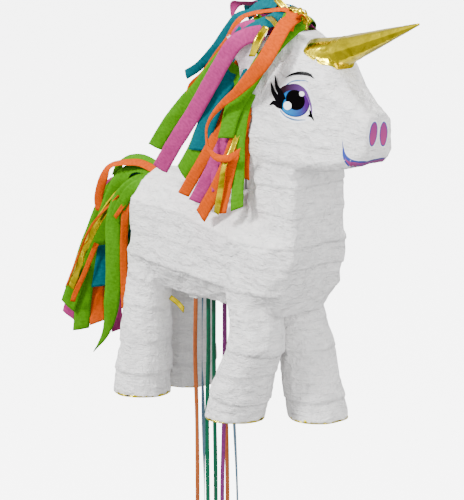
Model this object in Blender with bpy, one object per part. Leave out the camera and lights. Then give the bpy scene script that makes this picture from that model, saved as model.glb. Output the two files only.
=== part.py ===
"""A pull-string unicorn pinata: a papered card shell on a hanging loop, with a belly trap door and ribbons.

Lengths are in millimetres in an "animal" frame: X forward from the hind hooves, Y to the animal's left,
Z up from the soles. at() turns them into the part's own frame, whose origin is inside the hanging loop.
"""

import math

import bmesh
import bpy
from mathutils import Vector

MM = 0.001
CARD = 3.0  # wall of the papered card shell
STICKER = 0.8  # drawn thickness of a sticker, before its clearance
GAP = 0.3  # between neighbouring pieces
LOOP_X = 157.0  # the hanging loop stands over the centre of mass
LOOP_TOP = 300.0  # height of the inside of the loop over the soles
LEG_SIDES = 24
WASHER_LOW, WASHER_THICK = 266.5, 2
WIRE = 2.5

# Body cross-sections. Each row: X, belly height, flank height, crease height, eave height, ridge height.
BODY_STATIONS = [
    (8, 134, 175, 237, 262, 271),
    (94, 134, 169, 236, 263, 273),
    (176, 134, 166, 223, 258, 272),
    (240, 134, 165, 218, 236, 262),
]
BELLY_HALF, SIDE_HALF, EAVE_HALF, RIDGE_HALF = 34, 62, 44, 16
RUMP_X = -12
CHEST_X = 274
NECK_HALF = 42
NECK_BACK_X = 189
NECK_TOP = 317.4
NECK_SEAT = 1.0  # how far the neck stands off the trunk

# Head cross-sections. Each row: X, jaw height and half-width, low cheek height and half-width,
# high cheek height and half-width, crown height and half-width.
HEAD_STATIONS = [
    (189, 326, 32, 336, 38, 428, 36, 444, 26),
    (203, 318, 38, 328, 46, 440, 43, 468, 30),
    (250, 318, 38, 328, 47, 442, 38, 480, 28),
    (312, 325, 36, 334, 45, 425, 32, 456, 18),
    (332, 329, 32, 338, 39, 413, 27, 431, 12),
    (345, 333, 28, 342, 34.5, 406, 23, 420, 12),
    (362, 338, 22, 348, 28, 400, 21, 408, 12),
    (377, 348, 14, 356, 21, 390, 19, 400, 12),
]

DOOR_START, DOOR_HINGE_X = 92, 154
HORN_BASE, HORN_TIP = (285, 0, 450), (448, 0, 523)
HORN_RADIUS = 22.5

# Leg centre lines. Each row: X, distance from the middle plane, height, radius.
HIND_LEG = [(11, 34, 182, 26), (11, 34, 150, 26), (6, 35, 75, 30), (0, 36, 3.5, 34)]
FRONT_LEG_RIGHT = [
    (195, 34, 182, 31),
    (195, 34, 148, 31),
    (204, 35, 111, 32),
    (201, 35.5, 92, 33),
    (180, 36, 48, 35),
    (165, 36, 3.5, 35.5),
]
FRONT_LEG_LEFT = [
    (191, 34, 182, 31),
    (191, 34, 141, 31),
    (202, 34.5, 113, 32),
    (213, 35, 81, 33),
    (220, 35.5, 45, 34),
    (232, 36, 3.5, 35.5),
]

# Ribbons: the heights that each route passes, then each ribbon's finish, its (X, Y) at those heights and
# its lowest Z.
RIBBON_WIDTH = 5.0
RIBBON_TOP = 129.5
RIBBON_HEIGHTS = (RIBBON_TOP, 60, -20, -120, -240)
RIBBONS = {
    "release_ribbon": ("ribbon_magenta", [(95, 10), (95, 10), (95, 9), (93, 8), (94, 8), (95, 8)], -360),
    "decoy_ribbon_1": ("ribbon_orange", [(84, -26), (84, -27), (86, -26), (87, -26), (87, -27), (88, -27)], -375),
    "decoy_ribbon_2": ("ribbon_blue", [(84, -15), (84, -16), (84, -14), (86, -14), (87, -15), (86, -15)], -352),
    "decoy_ribbon_3": ("ribbon_green", [(84, -6), (84, -6), (83, -7), (82, -5), (83, -5), (82, -6)], -368),
    "decoy_ribbon_4": ("ribbon_green", [(84, 3), (84, 3), (84, 4), (85, 5), (84, 5), (83, 5)], -345),
    "decoy_ribbon_5": ("ribbon_orange", [(84, 20), (84, 21), (86, 21), (88, 21), (89, 21), (90, 21)], -372),
    "decoy_ribbon_6": ("ribbon_blue", [(84, 29), (85, 30), (88, 31), (92, 33), (94, 33), (95, 34)], -356),
}
RIBBON_POINTS = 20

COLOURS = {
    "paper": ((0.86, 0.87, 0.89), 0.9, 0.0),
    "foil": ((0.85, 0.62, 0.12), 0.25, 1.0),
    "crepe_green": ((0.22, 0.50, 0.06), 0.8, 0.0),
    "crepe_orange": ((0.86, 0.22, 0.03), 0.8, 0.0),
    "crepe_pink": ((0.70, 0.14, 0.38), 0.8, 0.0),
    "crepe_teal": ((0.02, 0.28, 0.32), 0.8, 0.0),
    "sticker": ((0.90, 0.90, 0.92), 0.3, 0.0),
    "kraft_card": ((0.45, 0.30, 0.17), 0.9, 0.0),
    "tape": ((0.80, 0.80, 0.78), 0.35, 0.0),
    "wire": ((0.55, 0.55, 0.55), 0.3, 1.0),
    "ribbon_orange": ((0.80, 0.36, 0.12), 0.4, 0.0),
    "ribbon_blue": ((0.32, 0.45, 0.55), 0.4, 0.0),
    "ribbon_green": ((0.02, 0.40, 0.20), 0.4, 0.0),
    "ribbon_magenta": ((0.52, 0.12, 0.42), 0.4, 0.0),
}


def at(x, y, z):
    """A place in the part's own frame, in metres."""
    return Vector(((x - LOOP_X) * MM, y * MM, (z - LOOP_TOP) * MM))


def clear_scene():
    for thing in list(bpy.data.objects):
        bpy.data.objects.remove(thing, do_unlink=True)


def new_collection(name):
    collection = bpy.data.collections.new(name)
    bpy.context.scene.collection.children.link(collection)
    return collection


def material(name):
    """The named Principled material, made once."""
    if name in bpy.data.materials:
        return bpy.data.materials[name]
    colour, roughness, metallic = COLOURS[name]
    made = bpy.data.materials.new(name)
    made.use_nodes = True
    shader = made.node_tree.nodes["Principled BSDF"]
    shader.inputs["Base Color"].default_value = (*colour, 1)
    shader.inputs["Roughness"].default_value = roughness
    shader.inputs["Metallic"].default_value = metallic
    made.diffuse_color = (*colour, 1)
    return made


def link(name, data, finish, origin, target):
    """Link an object whose data is in the part's frame, moving its own origin to a place."""
    place = at(*origin)
    for point in points_of(data):
        point.co = type(point.co)((*(Vector(point.co[:3]) - place), *point.co[3:]))
    data.materials.append(material(finish))
    obj = bpy.data.objects.new(name, data)
    obj.location = place
    target.objects.link(obj)
    return obj


def points_of(data):
    """Every point of a mesh, or of a curve of straight-sided splines."""
    if isinstance(data, bpy.types.Mesh):
        return data.vertices
    return [point for spline in data.splines for point in spline.points]


def loft_mesh(name, rings, loop=False, clearance=GAP / 2):
    """A closed mesh through rings of points, capped at its ends or joined into a loop.

    Each face then moves inward by the clearance, so that two pieces drawn edge to edge keep a gap.
    """
    bm = bmesh.new()
    levels = [[bm.verts.new(at(*point)) for point in ring] for ring in rings]
    spans = list(zip(levels, levels[1:]))
    if loop:
        spans.append((levels[-1], levels[0]))
    for lower, upper in spans:
        for k in range(len(lower)):
            j = (k + 1) % len(lower)
            bm.faces.new((lower[k], lower[j], upper[j]))
            bm.faces.new((lower[k], upper[j], upper[k]))
    if not loop:
        bm.faces.new(levels[0])
        bm.faces.new(levels[-1])
    bmesh.ops.recalc_face_normals(bm, faces=bm.faces)
    bm.normal_update()
    moves = [vert.normal * vert.calc_shell_factor() * clearance * MM for vert in bm.verts]
    for vert, move in zip(bm.verts, moves):
        vert.co -= move
    mesh = bpy.data.meshes.new(name)
    bm.to_mesh(mesh)
    bm.free()
    return mesh


def loft(name, rings, finish, loop=False, origin=(LOOP_X, 0, LOOP_TOP), cutters=()):
    """One piece of the object as a loft, cut by each cutter."""
    obj = link(name, loft_mesh(name, rings, loop), finish, origin, PARTS)
    for cutter in cutters:
        cut = obj.modifiers.new("Cut", "BOOLEAN")
        cut.operation = "DIFFERENCE"
        cut.object = cutter
    return obj


def make_cutter(name, rings):
    """A hidden solid that stands off the rings by the gap."""
    obj = link(name, loft_mesh(name, rings, clearance=-GAP), "paper", (LOOP_X, 0, LOOP_TOP), CUTTERS)
    obj.hide_render = True
    obj.display_type = "WIRE"
    return obj


def mirror(points):
    """The same points on the animal's other side, in the order that keeps them matched."""
    return [(x, -y, z) for x, y, z in points]


def between(stations, x):
    """The station at x, mixed from the two beside it."""
    for low, high in zip(stations, stations[1:]):
        if low[0] <= x <= high[0]:
            share = (x - low[0]) / (high[0] - low[0])
            return [a + share * (b - a) for a, b in zip(low, high)]
    raise ValueError(x)


def inset(flat, depth):
    """A closed outline of (y, z) points moved inward by depth, with its corners mitred."""
    moved = []
    for k, point in enumerate(flat):
        before = (Vector(point) - Vector(flat[k - 1])).normalized()
        after = (Vector(flat[(k + 1) % len(flat)]) - Vector(point)).normalized()
        normal = (before.orthogonal() + after.orthogonal()).normalized()
        reach = depth / max(normal.dot(after.orthogonal()), 0.3)
        moved.append(tuple(Vector(point) + normal * reach))
    return moved


def body_outline(x):
    """Ten (y, z) corners from the right belly edge up over the back to the left one."""
    _, belly, flank, crease, eave, ridge = between(BODY_STATIONS, x)
    right = [
        (-BELLY_HALF, belly),
        (-SIDE_HALF, flank),
        (-SIDE_HALF, crease),
        (-EAVE_HALF, eave),
        (-RIDGE_HALF, ridge),
    ]
    return right + [(-y, z) for y, z in reversed(right)]


def body_ring(x, depth=0.0):
    """The trunk's corners at x, or those of its hollow at a depth."""
    if x == CHEST_X:
        return front_ring(depth)
    if x == RUMP_X:
        return rump_ring(depth)
    outline = body_outline(x)
    if depth:
        outline = inset(outline, -depth)
    return [(x, y, z) for y, z in outline]


def rump_ring(depth=0.0):
    """The corners of the flat end under the tail."""
    right = [(-16, 142), (-28, 178), (-28, 238), (-21, 258), (-7, 265)]
    outline = right + [(-y, z) for y, z in reversed(right)]
    if depth:
        outline = inset(outline, -depth)
    return [(RUMP_X + depth, y, z) for y, z in outline]


def front_ring(depth=0.0):
    """The corners where the flanks and shoulders meet the brisket and chest."""
    right = [
        (247 - depth * 0.7, -36 + depth * 0.7, 150 + depth),
        (258 - depth, -NECK_HALF + depth, 168 + depth * 0.5),
        (CHEST_X - depth, -NECK_HALF + depth, 212),
        (CHEST_X - depth, -NECK_HALF + depth, 232),
        (CHEST_X - depth, -RIDGE_HALF, 240),
    ]
    return right + mirror(reversed(right))


def panel(name, outer, inner, first, last, **more):
    """A stretch of wall between two corners, lofted through matching outer and inner rings."""
    rings = []
    for out, ins in zip(outer, inner):
        count = len(out)
        if first <= last:
            picks = range(first, last + 1)
        else:
            picks = [k % count for k in range(first, last + count + 1)]
        rings.append([out[k] for k in picks] + [ins[k] for k in reversed(picks)])
    return loft(name, rings, more.pop("finish", "paper"), **more)


def body_panel(name, first, last, stations, **more):
    outer = [body_ring(x) for x in stations]
    inner = [body_ring(x, CARD) for x in stations]
    return panel(name, outer, inner, first, last, **more)


def make_body():
    """The trunk: a prism of panels from the rump to the shoulders, closed by a rump cap and a brisket."""
    whole = [x for x, *_ in BODY_STATIONS]
    start, flap_start, flap_end, front = whole
    body_panel("side_panel_right", 1, 2, whole)
    body_panel("side_panel_left_rear", 7, 8, [start, flap_start])
    body_panel("side_panel_left_front", 7, 8, [flap_end, front])
    body_panel("loin_panel_right", 2, 3, whole)
    body_panel("loin_panel_left", 6, 7, whole)
    back = body_panel("back_panel", 3, 6, [start, flap_start, flap_end, NECK_BACK_X])
    cut_wire_holes(back)
    make_fill_flap(flap_start, flap_end)
    make_belly(start, front)
    body_panel("flank_panel_right", 0, 1, whole + [CHEST_X])
    body_panel("flank_panel_left", 8, 9, whole + [CHEST_X])
    body_panel("shoulder_panel_right", 1, 3, [front, CHEST_X])
    body_panel("shoulder_panel_left", 6, 8, [front, CHEST_X])
    make_rump_cap(start)
    make_chest()


def make_belly(start, front):
    """The flat belly, in two fixed panels with the trap door between them."""
    for name, stations in (
        ("belly_panel_rear", [start, DOOR_START]),
        ("belly_panel_front", [DOOR_HINGE_X, front, CHEST_X]),
    ):
        body_panel(name, 9, 0, stations)
    body_panel("belly_door", 9, 0, [DOOR_START, DOOR_HINGE_X], origin=(DOOR_HINGE_X, 0, BODY_STATIONS[0][1]))


def make_fill_flap(start, end):
    """The flap in the left side, hinged along its top edge."""
    crease = [between(BODY_STATIONS, x)[3] for x in (start, end)]
    hinge = ((start + end) / 2, SIDE_HALF, sum(crease) / 2)
    body_panel("fill_flap", 7, 8, [start, end], origin=hinge)


def make_rump_cap(start):
    """A dished cap whose corners turn in to a flat end under the tail."""
    rings = [rump_ring(), body_ring(start), body_ring(start, CARD), rump_ring(CARD)]
    loft("rump_cap", rings, "paper")


def make_chest():
    """The flat front from the brisket up the neck, and the brisket that turns under to the belly."""
    outer, inner = front_ring(), front_ring(CARD)
    right = [outer[k] for k in (0, 1, 2)] + [inner[k] for k in (2, 1, 0)]
    loft("brisket_panel", [right, mirror(right)], "paper")
    low, high = outer[2][2], NECK_TOP
    plate = [
        (CHEST_X, -NECK_HALF, low),
        (CHEST_X, -NECK_HALF, high),
        (CHEST_X - CARD, -NECK_HALF + CARD, high),
        (CHEST_X - CARD, -NECK_HALF + CARD, low),
    ]
    loft("chest_panel", [plate, mirror(plate)], "paper")


def make_neck():
    """Two sides and a back that stand on the trunk behind the chest panel."""
    front_base = front_ring()[3][2]
    stations = [(NECK_BACK_X, between(BODY_STATIONS, NECK_BACK_X)[4]), (240, 236), (CHEST_X, front_base)]
    for name, side in (("right", -1), ("left", 1)):
        rings = []
        for x, base in stations:
            deep = CARD if x == CHEST_X else 0
            outer, inner = side * NECK_HALF, side * (NECK_HALF - CARD)
            low = base + NECK_SEAT
            rings.append([(x, outer, low), (x, outer, NECK_TOP), (x - deep, inner, NECK_TOP), (x - deep, inner, low)])
        loft(f"neck_side_{name}", rings, "paper")
    half, base = NECK_HALF - CARD, between(BODY_STATIONS, NECK_BACK_X)[5] + NECK_SEAT
    ring = [(NECK_BACK_X, -half), (NECK_BACK_X, half), (NECK_BACK_X + CARD, half), (NECK_BACK_X + CARD, -half)]
    loft("neck_back", [[(x, y, z) for x, y in ring] for z in (base, NECK_TOP)], "paper")


def head_outline(x):
    """Eight (y, z) corners from the right jaw edge up over the crown to the left one."""
    _, jaw, jaw_half, low, low_half, high, high_half, crown, crown_half = between(HEAD_STATIONS, x)
    right = [(-jaw_half, jaw), (-low_half, low), (-high_half, high), (-crown_half, crown)]
    return right + [(-y, z) for y, z in reversed(right)]


def cheek_half(x, z):
    """Half the head's width at a place on the cheek."""
    _, _, _, low, low_half, high, high_half, _, _ = between(HEAD_STATIONS, x)
    return low_half + (z - low) / (high - low) * (high_half - low_half)


def head_ring(x, depth=0.0):
    """The head's corners at x, or those of its hollow at a depth."""
    outline = head_outline(x)
    if depth:
        outline = inset(outline, -depth)
    return [(x, y, z) for y, z in outline]


def make_head():
    """A wedge-shaped head in panels, with dished caps at the muzzle and the back."""
    xs = [x for x, *_ in HEAD_STATIONS]
    middle = xs[1:6]
    outer = [head_ring(x) for x in middle]
    inner = [head_ring(x, CARD) for x in middle]
    panel("cheek_right", outer, inner, 1, 2)
    panel("cheek_left", outer, inner, 5, 6)
    panel("crown_panel", outer, inner, 2, 5)
    panel("jaw_panel", outer, inner, 6, 1)
    muzzle = [head_ring(x) for x in xs[5:]]
    hollow = [head_ring(xs[7], CARD), head_ring(xs[6], CARD), head_ring(xs[5], CARD)]
    hollow[0] = [(x - CARD, y, z) for x, y, z in hollow[0]]
    loft("muzzle_cap", hollow + muzzle, "paper")
    back = [head_ring(xs[1]), head_ring(xs[0])]
    hollow = [[(xs[0] + CARD, y, z) for _, y, z in head_ring(xs[0], CARD)], head_ring(xs[1], CARD)]
    loft("back_of_head", hollow + back, "paper")
    return make_cutter("head_cutter", [head_ring(x) for x in xs])


def leg_rings(stations, side, depth):
    """Round rings down one leg, kept within the sides of the trunk near its top."""
    rings = []
    for x, y, z, radius in stations:
        ring = []
        for k in range(LEG_SIDES):
            turn = 2 * math.pi * k / LEG_SIDES
            reach = radius - depth
            across = y + reach * math.sin(turn)
            if z > RIBBON_TOP:
                across = min(across, SIDE_HALF - depth)
            ring.append((x + reach * math.cos(turn), side * across, z))
        rings.append(ring)
    return rings


def make_legs(trunk):
    """Open card tubes that meet the underside of the trunk, each closed below by a foil sole."""
    for name, stations, side in (
        ("hind_right", HIND_LEG, -1),
        ("hind_left", HIND_LEG, 1),
        ("front_right", FRONT_LEG_RIGHT, -1),
        ("front_left", FRONT_LEG_LEFT, 1),
    ):
        outer = leg_rings(stations, side, 0)
        inner = leg_rings(stations, side, CARD)
        loft(f"leg_{name}", outer + inner[::-1], "paper", loop=True, cutters=[trunk])
        x, y, top, radius = stations[-1]
        sole = [leg_rings([(x, y, z, radius + 0.6)], side, 0)[0] for z in (-GAP / 2, top)]
        loft(f"sole_{name}", sole, "foil")


def turned_rings(start, end, sizes, sides):
    """Rings round the line from start to end. Each size is (share of the way along, radius)."""
    start, end = Vector(start), Vector(end)
    along = (end - start).normalized()
    across = along.cross(Vector((0, 1, 0))).normalized()
    rings = []
    for share, radius in sizes:
        centre = start.lerp(end, share)
        ring = []
        for k in range(sides):
            turn = 2 * math.pi * k / sides
            ring.append(tuple(centre + across * radius * math.cos(turn) + Vector((0, radius * math.sin(turn), 0))))
        rings.append(ring)
    return rings


def make_horn(head):
    """A hollow cone of foil card, cut to sit on the brow."""
    outer = turned_rings(HORN_BASE, HORN_TIP, [(0, HORN_RADIUS), (1, 1.2)], 20)
    inner = turned_rings(HORN_BASE, HORN_TIP, [(0.9, HORN_RADIUS * 0.1 - 1.0), (0, HORN_RADIUS - 1.5)], 20)
    loft("horn", inner + outer, "foil", cutters=[head])


def slab(name, outline, low, high, finish):
    """A flat outline of (x, z) points given thickness from one Y to another."""
    loft(name, [[(x, y, z) for x, z in outline] for y in (low, high)], finish)


def make_ears():
    """Petal-shaped card ears laid back along the head."""
    petal = [(214, 424), (206, 443), (190, 461), (172, 469), (163, 464), (166, 450), (178, 433), (196, 421)]
    slab("ear_right", petal, -47.4, -45.4, "paper")
    slab("ear_left", petal, 45.4, 47.4, "paper")


def make_stickers():
    """Printed paper stickers: an eye on each cheek, two nostrils and a smile round the muzzle."""
    eye = [(237, 420), (253, 429), (275, 428), (293, 415), (299, 400), (291, 387), (274, 379), (254, 381), (241, 393)]
    off = 2.0
    for name, side in (("right", -1), ("left", 1)):
        rings = []
        for lift in (off, off + STICKER):
            rings.append([(x, side * (cheek_half(x, z) + lift), z) for x, z in eye])
        loft(f"eye_sticker_{name}", rings, "sticker")
        nostril = [(y * side, z) for y, z in ((5, 366), (11, 366), (12, 376), (11, 387), (5, 387), (4, 376))]
        front = HEAD_STATIONS[-1][0] + 0.2
        rings = [[(x, y, z) for y, z in nostril] for x in (front, front + STICKER)]
        loft(f"nostril_sticker_{name}", rings, "sticker")
    make_smile()


def make_smile():
    """A band round the front of the muzzle, standing just off it."""
    side_out, front_out, off = (0.5, 0.85), (0.8, 0.6), 0.5
    thick = STICKER * 1.4
    right = [(x, -cheek_half(x, 358)) for x in (HEAD_STATIONS[6][0], HEAD_STATIONS[7][0])]
    path = [*right, (right[-1][0], 0), *[(x, -y) for x, y in reversed(right)]]
    rings = []
    for k, (x, y) in enumerate(path):
        forward, sideways = front_out if 0 < k < len(path) - 1 else side_out
        out = Vector((forward, math.copysign(sideways, y) if y else 0))
        near, far = Vector((x, y)) + out * off, Vector((x, y)) + out * (off + thick)
        low, high = (358, 364) if y else (357.5, 361.5)
        rings.append([(near.x, near.y, low), (far.x, far.y, low), (far.x, far.y, high), (near.x, near.y, high)])
    loft("mouth_sticker", rings, "sticker")


def make_hair():
    """Bundles of crepe strips: a forelock, a crest behind the neck, a fall on each side, and the tail."""
    forelock = [(206, 483), (250, 483), (290, 484), (284, 500), (252, 508), (216, 504)]
    slab("forelock", forelock, -34, 34, "crepe_orange")
    crest = [(170, 330), (186, 318), (186, 450), (200, 474), (196, 496), (172, 490), (156, 450), (150, 390)]
    slab("mane_crest", crest, -44, 44, "crepe_green")
    fall = [(236, 476), (190, 478), (150, 430), (104, 400), (80, 330), (76, 284), (120, 276), (180, 268), (212, 300)]
    fall.append((206, 400))
    slab("mane_right", fall, -76, -52, "crepe_pink")
    far_fall = [(236, 476), (190, 478), (150, 430), (128, 360), (132, 290), (190, 274), (208, 320), (206, 400)]
    slab("mane_left", far_fall, 52, 72, "crepe_teal")
    path = [
        ((RUMP_X - 0.5, 246), 13, 16),
        ((-46, 262), 16, 22),
        ((-84, 238), 22, 30),
        ((-110, 170), 28, 34),
        ((-122, 96), 30, 34),
        ((-124, 34), 22, 26),
    ]
    headings = [(-1, 0), (-0.95, -0.1), (-0.6, -0.8), (-0.25, -0.97), (-0.1, -1), (0, -1)]
    rings = []
    for ((x, z), thick, wide), (dx, dz) in zip(path, headings):
        ring = []
        for k in range(10):
            turn = 2 * math.pi * k / 10
            out = thick * math.cos(turn)
            ring.append((x - dz * out, wide * math.sin(turn), z + dx * out))
        rings.append(ring)
    loft("tail", rings, "crepe_green")


def wire_path():
    """The hanging wire: feet bent under the washer, two legs and a round eye."""
    radius, foot = 12.0, 17.0
    low = WASHER_LOW - WIRE / 2 - GAP
    top = LOOP_TOP + WIRE / 2 - radius
    path = [(LOOP_X, -foot, low), (LOOP_X, -radius, low)]
    turns = 10
    path += [
        (LOOP_X, -radius * math.cos(math.pi * k / turns), top + radius * math.sin(math.pi * k / turns))
        for k in range(turns + 1)
    ]
    return path + [(LOOP_X, radius, low), (LOOP_X, foot, low)]


def tube(name, path, diameter, finish, origin=None, resolution=2):
    """A round wire or cord through the points of a path, with closed ends."""
    curve = bpy.data.curves.new(name, "CURVE")
    curve.dimensions = "3D"
    curve.bevel_depth = diameter / 2 * MM
    curve.bevel_resolution = resolution
    curve.use_fill_caps = True
    spline = curve.splines.new("POLY")
    spline.points.add(len(path) - 1)
    for point, place in zip(spline.points, path):
        point.co = (*at(*place), 1)
    return link(name, curve, finish, origin or path[0], PARTS)


def cut_wire_holes(target):
    """Two holes for the legs of the hanging wire."""
    for side in (-1, 1):
        rings = turned_rings((LOOP_X, side * 12, 240), (LOOP_X, side * 12, 300), [(0, 1.7), (1, 1.7)], 12)
        cutter = make_cutter(f"wire_hole_{target.name}_{'left' if side > 0 else 'right'}", rings)
        cut = target.modifiers.new("Wire hole", "BOOLEAN")
        cut.operation = "DIFFERENCE"
        cut.object = cutter


def make_hanger():
    """The wire loop and the card washer under the back that spreads its pull."""
    tube("hanging_loop", wire_path(), WIRE, "wire")
    outline = [(LOOP_X - 22, -15), (LOOP_X + 22, -15), (LOOP_X + 22, 15), (LOOP_X - 22, 15)]
    rings = [[(x, y, z) for x, y in outline] for z in (WASHER_LOW, WASHER_LOW + WASHER_THICK)]
    washer = loft("loop_washer", rings, "kraft_card")
    cut_wire_holes(washer)


def smooth_route(points, count):
    """Evenly spread points on a smooth curve through a route's own points."""
    route = [Vector(p) for p in points]
    route = [2 * route[0] - route[1], *route, 2 * route[-1] - route[-2]]
    spans = len(points) - 1
    made = []
    for k in range(count):
        place = k / (count - 1) * spans
        i = min(int(place), spans - 1)
        t = place - i
        a, b, c, d = route[i : i + 4]
        made.append(0.5 * (2 * b + (c - a) * t + (2 * a - 5 * b + 4 * c - d) * t**2 + (3 * b - a - 3 * c + d) * t**3))
    return made


def make_ribbons():
    """Seven ribbons: one taped to the trap door, six to the belly beside its free edge."""
    for name, (finish, places, low) in RIBBONS.items():
        route = [(x, y, z) for (x, y), z in zip(places, RIBBON_HEIGHTS + (low,))]
        tube(name, smooth_route(route, RIBBON_POINTS), RIBBON_WIDTH, finish)
    belly = BODY_STATIONS[0][1]
    for name, (low_x, high_x), (low_y, high_y) in (
        ("release_tab", (95.5, 101.5), (2, 18)),
        ("anchor_tape", (78, DOOR_START - 1), (-31, 33)),
    ):
        outline = [(low_x, low_y), (high_x, low_y), (high_x, high_y), (low_x, high_y)]
        loft(name, [[(x, y, z) for x, y in outline] for z in (RIBBON_TOP + GAP / 2, belly)], "tape")


clear_scene()
PARTS = new_collection("pinata")
CUTTERS = new_collection("cutters")
make_body()
make_neck()
head_solid = make_head()
trunk_stations = (RUMP_X, *[row[0] for row in BODY_STATIONS], CHEST_X)
trunk_solid = make_cutter("trunk_cutter", [body_ring(x) for x in trunk_stations])
make_legs(trunk_solid)
make_horn(head_solid)
make_ears()
make_stickers()
make_hair()
make_hanger()
make_ribbons()
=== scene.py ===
"""A paper unicorn pinata: papered skin, foil horn, stickers, crepe mane and tail, pull ribbons."""

import math

import bmesh
import bpy
import numpy as np
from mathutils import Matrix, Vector, noise
from mathutils.bvhtree import BVHTree


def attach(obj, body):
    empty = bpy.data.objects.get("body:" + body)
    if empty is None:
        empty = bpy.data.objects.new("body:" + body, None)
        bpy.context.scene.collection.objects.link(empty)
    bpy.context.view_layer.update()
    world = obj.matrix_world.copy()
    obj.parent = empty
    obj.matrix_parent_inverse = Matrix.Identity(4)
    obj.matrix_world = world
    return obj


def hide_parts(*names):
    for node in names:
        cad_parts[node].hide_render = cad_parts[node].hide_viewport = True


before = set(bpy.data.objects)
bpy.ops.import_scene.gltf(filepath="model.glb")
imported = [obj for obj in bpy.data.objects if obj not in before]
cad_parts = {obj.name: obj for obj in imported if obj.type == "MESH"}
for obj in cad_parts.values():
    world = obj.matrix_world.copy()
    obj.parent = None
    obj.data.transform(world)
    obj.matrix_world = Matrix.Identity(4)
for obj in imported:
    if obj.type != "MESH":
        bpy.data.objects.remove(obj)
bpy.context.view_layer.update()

MM = 0.001
LOOP_X, LOOP_TOP = 157.0, 300.0


def at(x, y, z):
    """Millimetres from the hind hooves, middle plane and soles, to metres in the part's frame."""
    return Vector(((x - LOOP_X) * MM, y * MM, (z - LOOP_TOP) * MM))


def to_mm(points):
    """Metres in the part's frame to millimetres from the hooves."""
    return points * 1000 + np.array([LOOP_X, 0, LOOP_TOP])


def linear(code):
    """A hex colour as linear RGBA."""
    parts = [int(code[k : k + 2], 16) / 255 for k in (0, 2, 4)]
    return tuple(c / 12.92 if c <= 0.04045 else ((c + 0.055) / 1.055) ** 2.4 for c in parts) + (1.0,)


def link_object(name, data):
    """A new object in the scene."""
    obj = bpy.data.objects.new(name, data)
    bpy.context.scene.collection.objects.link(obj)
    return obj


def belongs(obj, body, slot, *nodes):
    """Fastens a piece to a body and hides the CAD nodes that it stands for. The slot argument is not used."""
    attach(obj, body)
    if nodes:
        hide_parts(*nodes)


# ---------------------------------------------------------------- camera

CAMERA_AZIMUTH, CAMERA_HEIGHT = math.radians(48), math.radians(14)
CAMERA_DISTANCE = 20.0
CAMERA_LENS = 60.8 * CAMERA_DISTANCE
CAMERA_AIM = at(119.3, 0, 189)

camera_data = bpy.data.cameras.new("camera")
camera_data.lens = CAMERA_LENS
camera_data.sensor_width = 36
camera_data.clip_end = 200
camera = link_object("camera", camera_data)
towards = Vector(
    (
        math.sin(CAMERA_AZIMUTH) * math.cos(CAMERA_HEIGHT),
        -math.cos(CAMERA_AZIMUTH) * math.cos(CAMERA_HEIGHT),
        math.sin(CAMERA_HEIGHT),
    )
)
camera.location = CAMERA_AIM + towards * CAMERA_DISTANCE
camera.rotation_euler = towards.to_track_quat("Z", "Y").to_euler()
bpy.context.scene.camera = camera

# ---------------------------------------------------------------- materials


class Nodes:
    """A short hand for building one Principled material."""

    def __init__(self, name, colour, roughness, metallic=0.0):
        self.material = bpy.data.materials.new(name)
        self.material.use_nodes = True
        self.tree = self.material.node_tree
        self.shader = self.tree.nodes["Principled BSDF"]
        self.shader.inputs["Base Color"].default_value = colour
        self.shader.inputs["Roughness"].default_value = roughness
        self.shader.inputs["Metallic"].default_value = metallic

    def add(self, kind, **settings):
        node = self.tree.nodes.new(kind)
        for key, value in settings.items():
            setattr(node, key, value)
        return node

    def link(self, out, into):
        self.tree.links.new(out, into)

    def coordinates(self, scale=(1, 1, 1), source="Object"):
        """Object or UV coordinates, stretched."""
        where = self.add("ShaderNodeTexCoord")
        mapping = self.add("ShaderNodeMapping")
        mapping.inputs["Scale"].default_value = scale
        self.link(where.outputs[source], mapping.inputs["Vector"])
        return mapping.outputs["Vector"]

    def noise(self, vector, scale, detail=3.0, rough=0.5, distortion=0.0):
        node = self.add("ShaderNodeTexNoise")
        node.inputs["Scale"].default_value = scale
        node.inputs["Detail"].default_value = detail
        node.inputs["Roughness"].default_value = rough
        node.inputs["Distortion"].default_value = distortion
        self.link(vector, node.inputs["Vector"])
        return node.outputs["Fac"]

    def ramp(self, value, *stops):
        node = self.add("ShaderNodeValToRGB")
        elements = node.color_ramp.elements
        while len(elements) < len(stops):
            elements.new(0.5)
        for element, (place, colour) in zip(elements, stops):
            element.position = place
            element.color = colour
        self.link(value, node.inputs["Fac"])
        return node.outputs["Color"]

    def bump(self, height, distance, strength=1.0):
        """Adds one bump under those made before it."""
        node = self.add("ShaderNodeBump")
        node.inputs["Distance"].default_value = distance
        node.inputs["Strength"].default_value = strength
        self.link(height, node.inputs["Height"])
        before = self.shader.inputs["Normal"]
        if before.is_linked:
            self.link(before.links[0].from_socket, node.inputs["Normal"])
        self.link(node.outputs["Normal"], before)
        return node

    def colour(self, value, *stops):
        """Colours the surface by a ramp over a value."""
        self.link(self.ramp(value, *stops), self.shader.inputs["Base Color"])

    def specular(self, level):
        self.shader.inputs["Specular IOR Level"].default_value = level

    def half(self, value):
        """A multiply-add by one half, and the socket of what it adds."""
        node = self.add("ShaderNodeMath", operation="MULTIPLY_ADD")
        node.inputs[1].default_value = 0.5
        node.inputs[2].default_value = 0.0
        self.link(value, node.inputs[0])
        return node.outputs["Value"], node.inputs[2]

    def roughness(self, value, low, high):
        node = self.add("ShaderNodeMapRange")
        node.inputs["To Min"].default_value = low
        node.inputs["To Max"].default_value = high
        self.link(value, node.inputs["Value"])
        self.link(node.outputs["Result"], self.shader.inputs["Roughness"])


# Coloured paper and ink keep this share of their brightness beside the brightly lit white.
DULL = 0.66
PAPER_STOPS = (0.32, 0.5, 0.66)


def shade(colour, factor):
    return tuple(c * factor for c in colour[:3]) + (1.0,)


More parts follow.
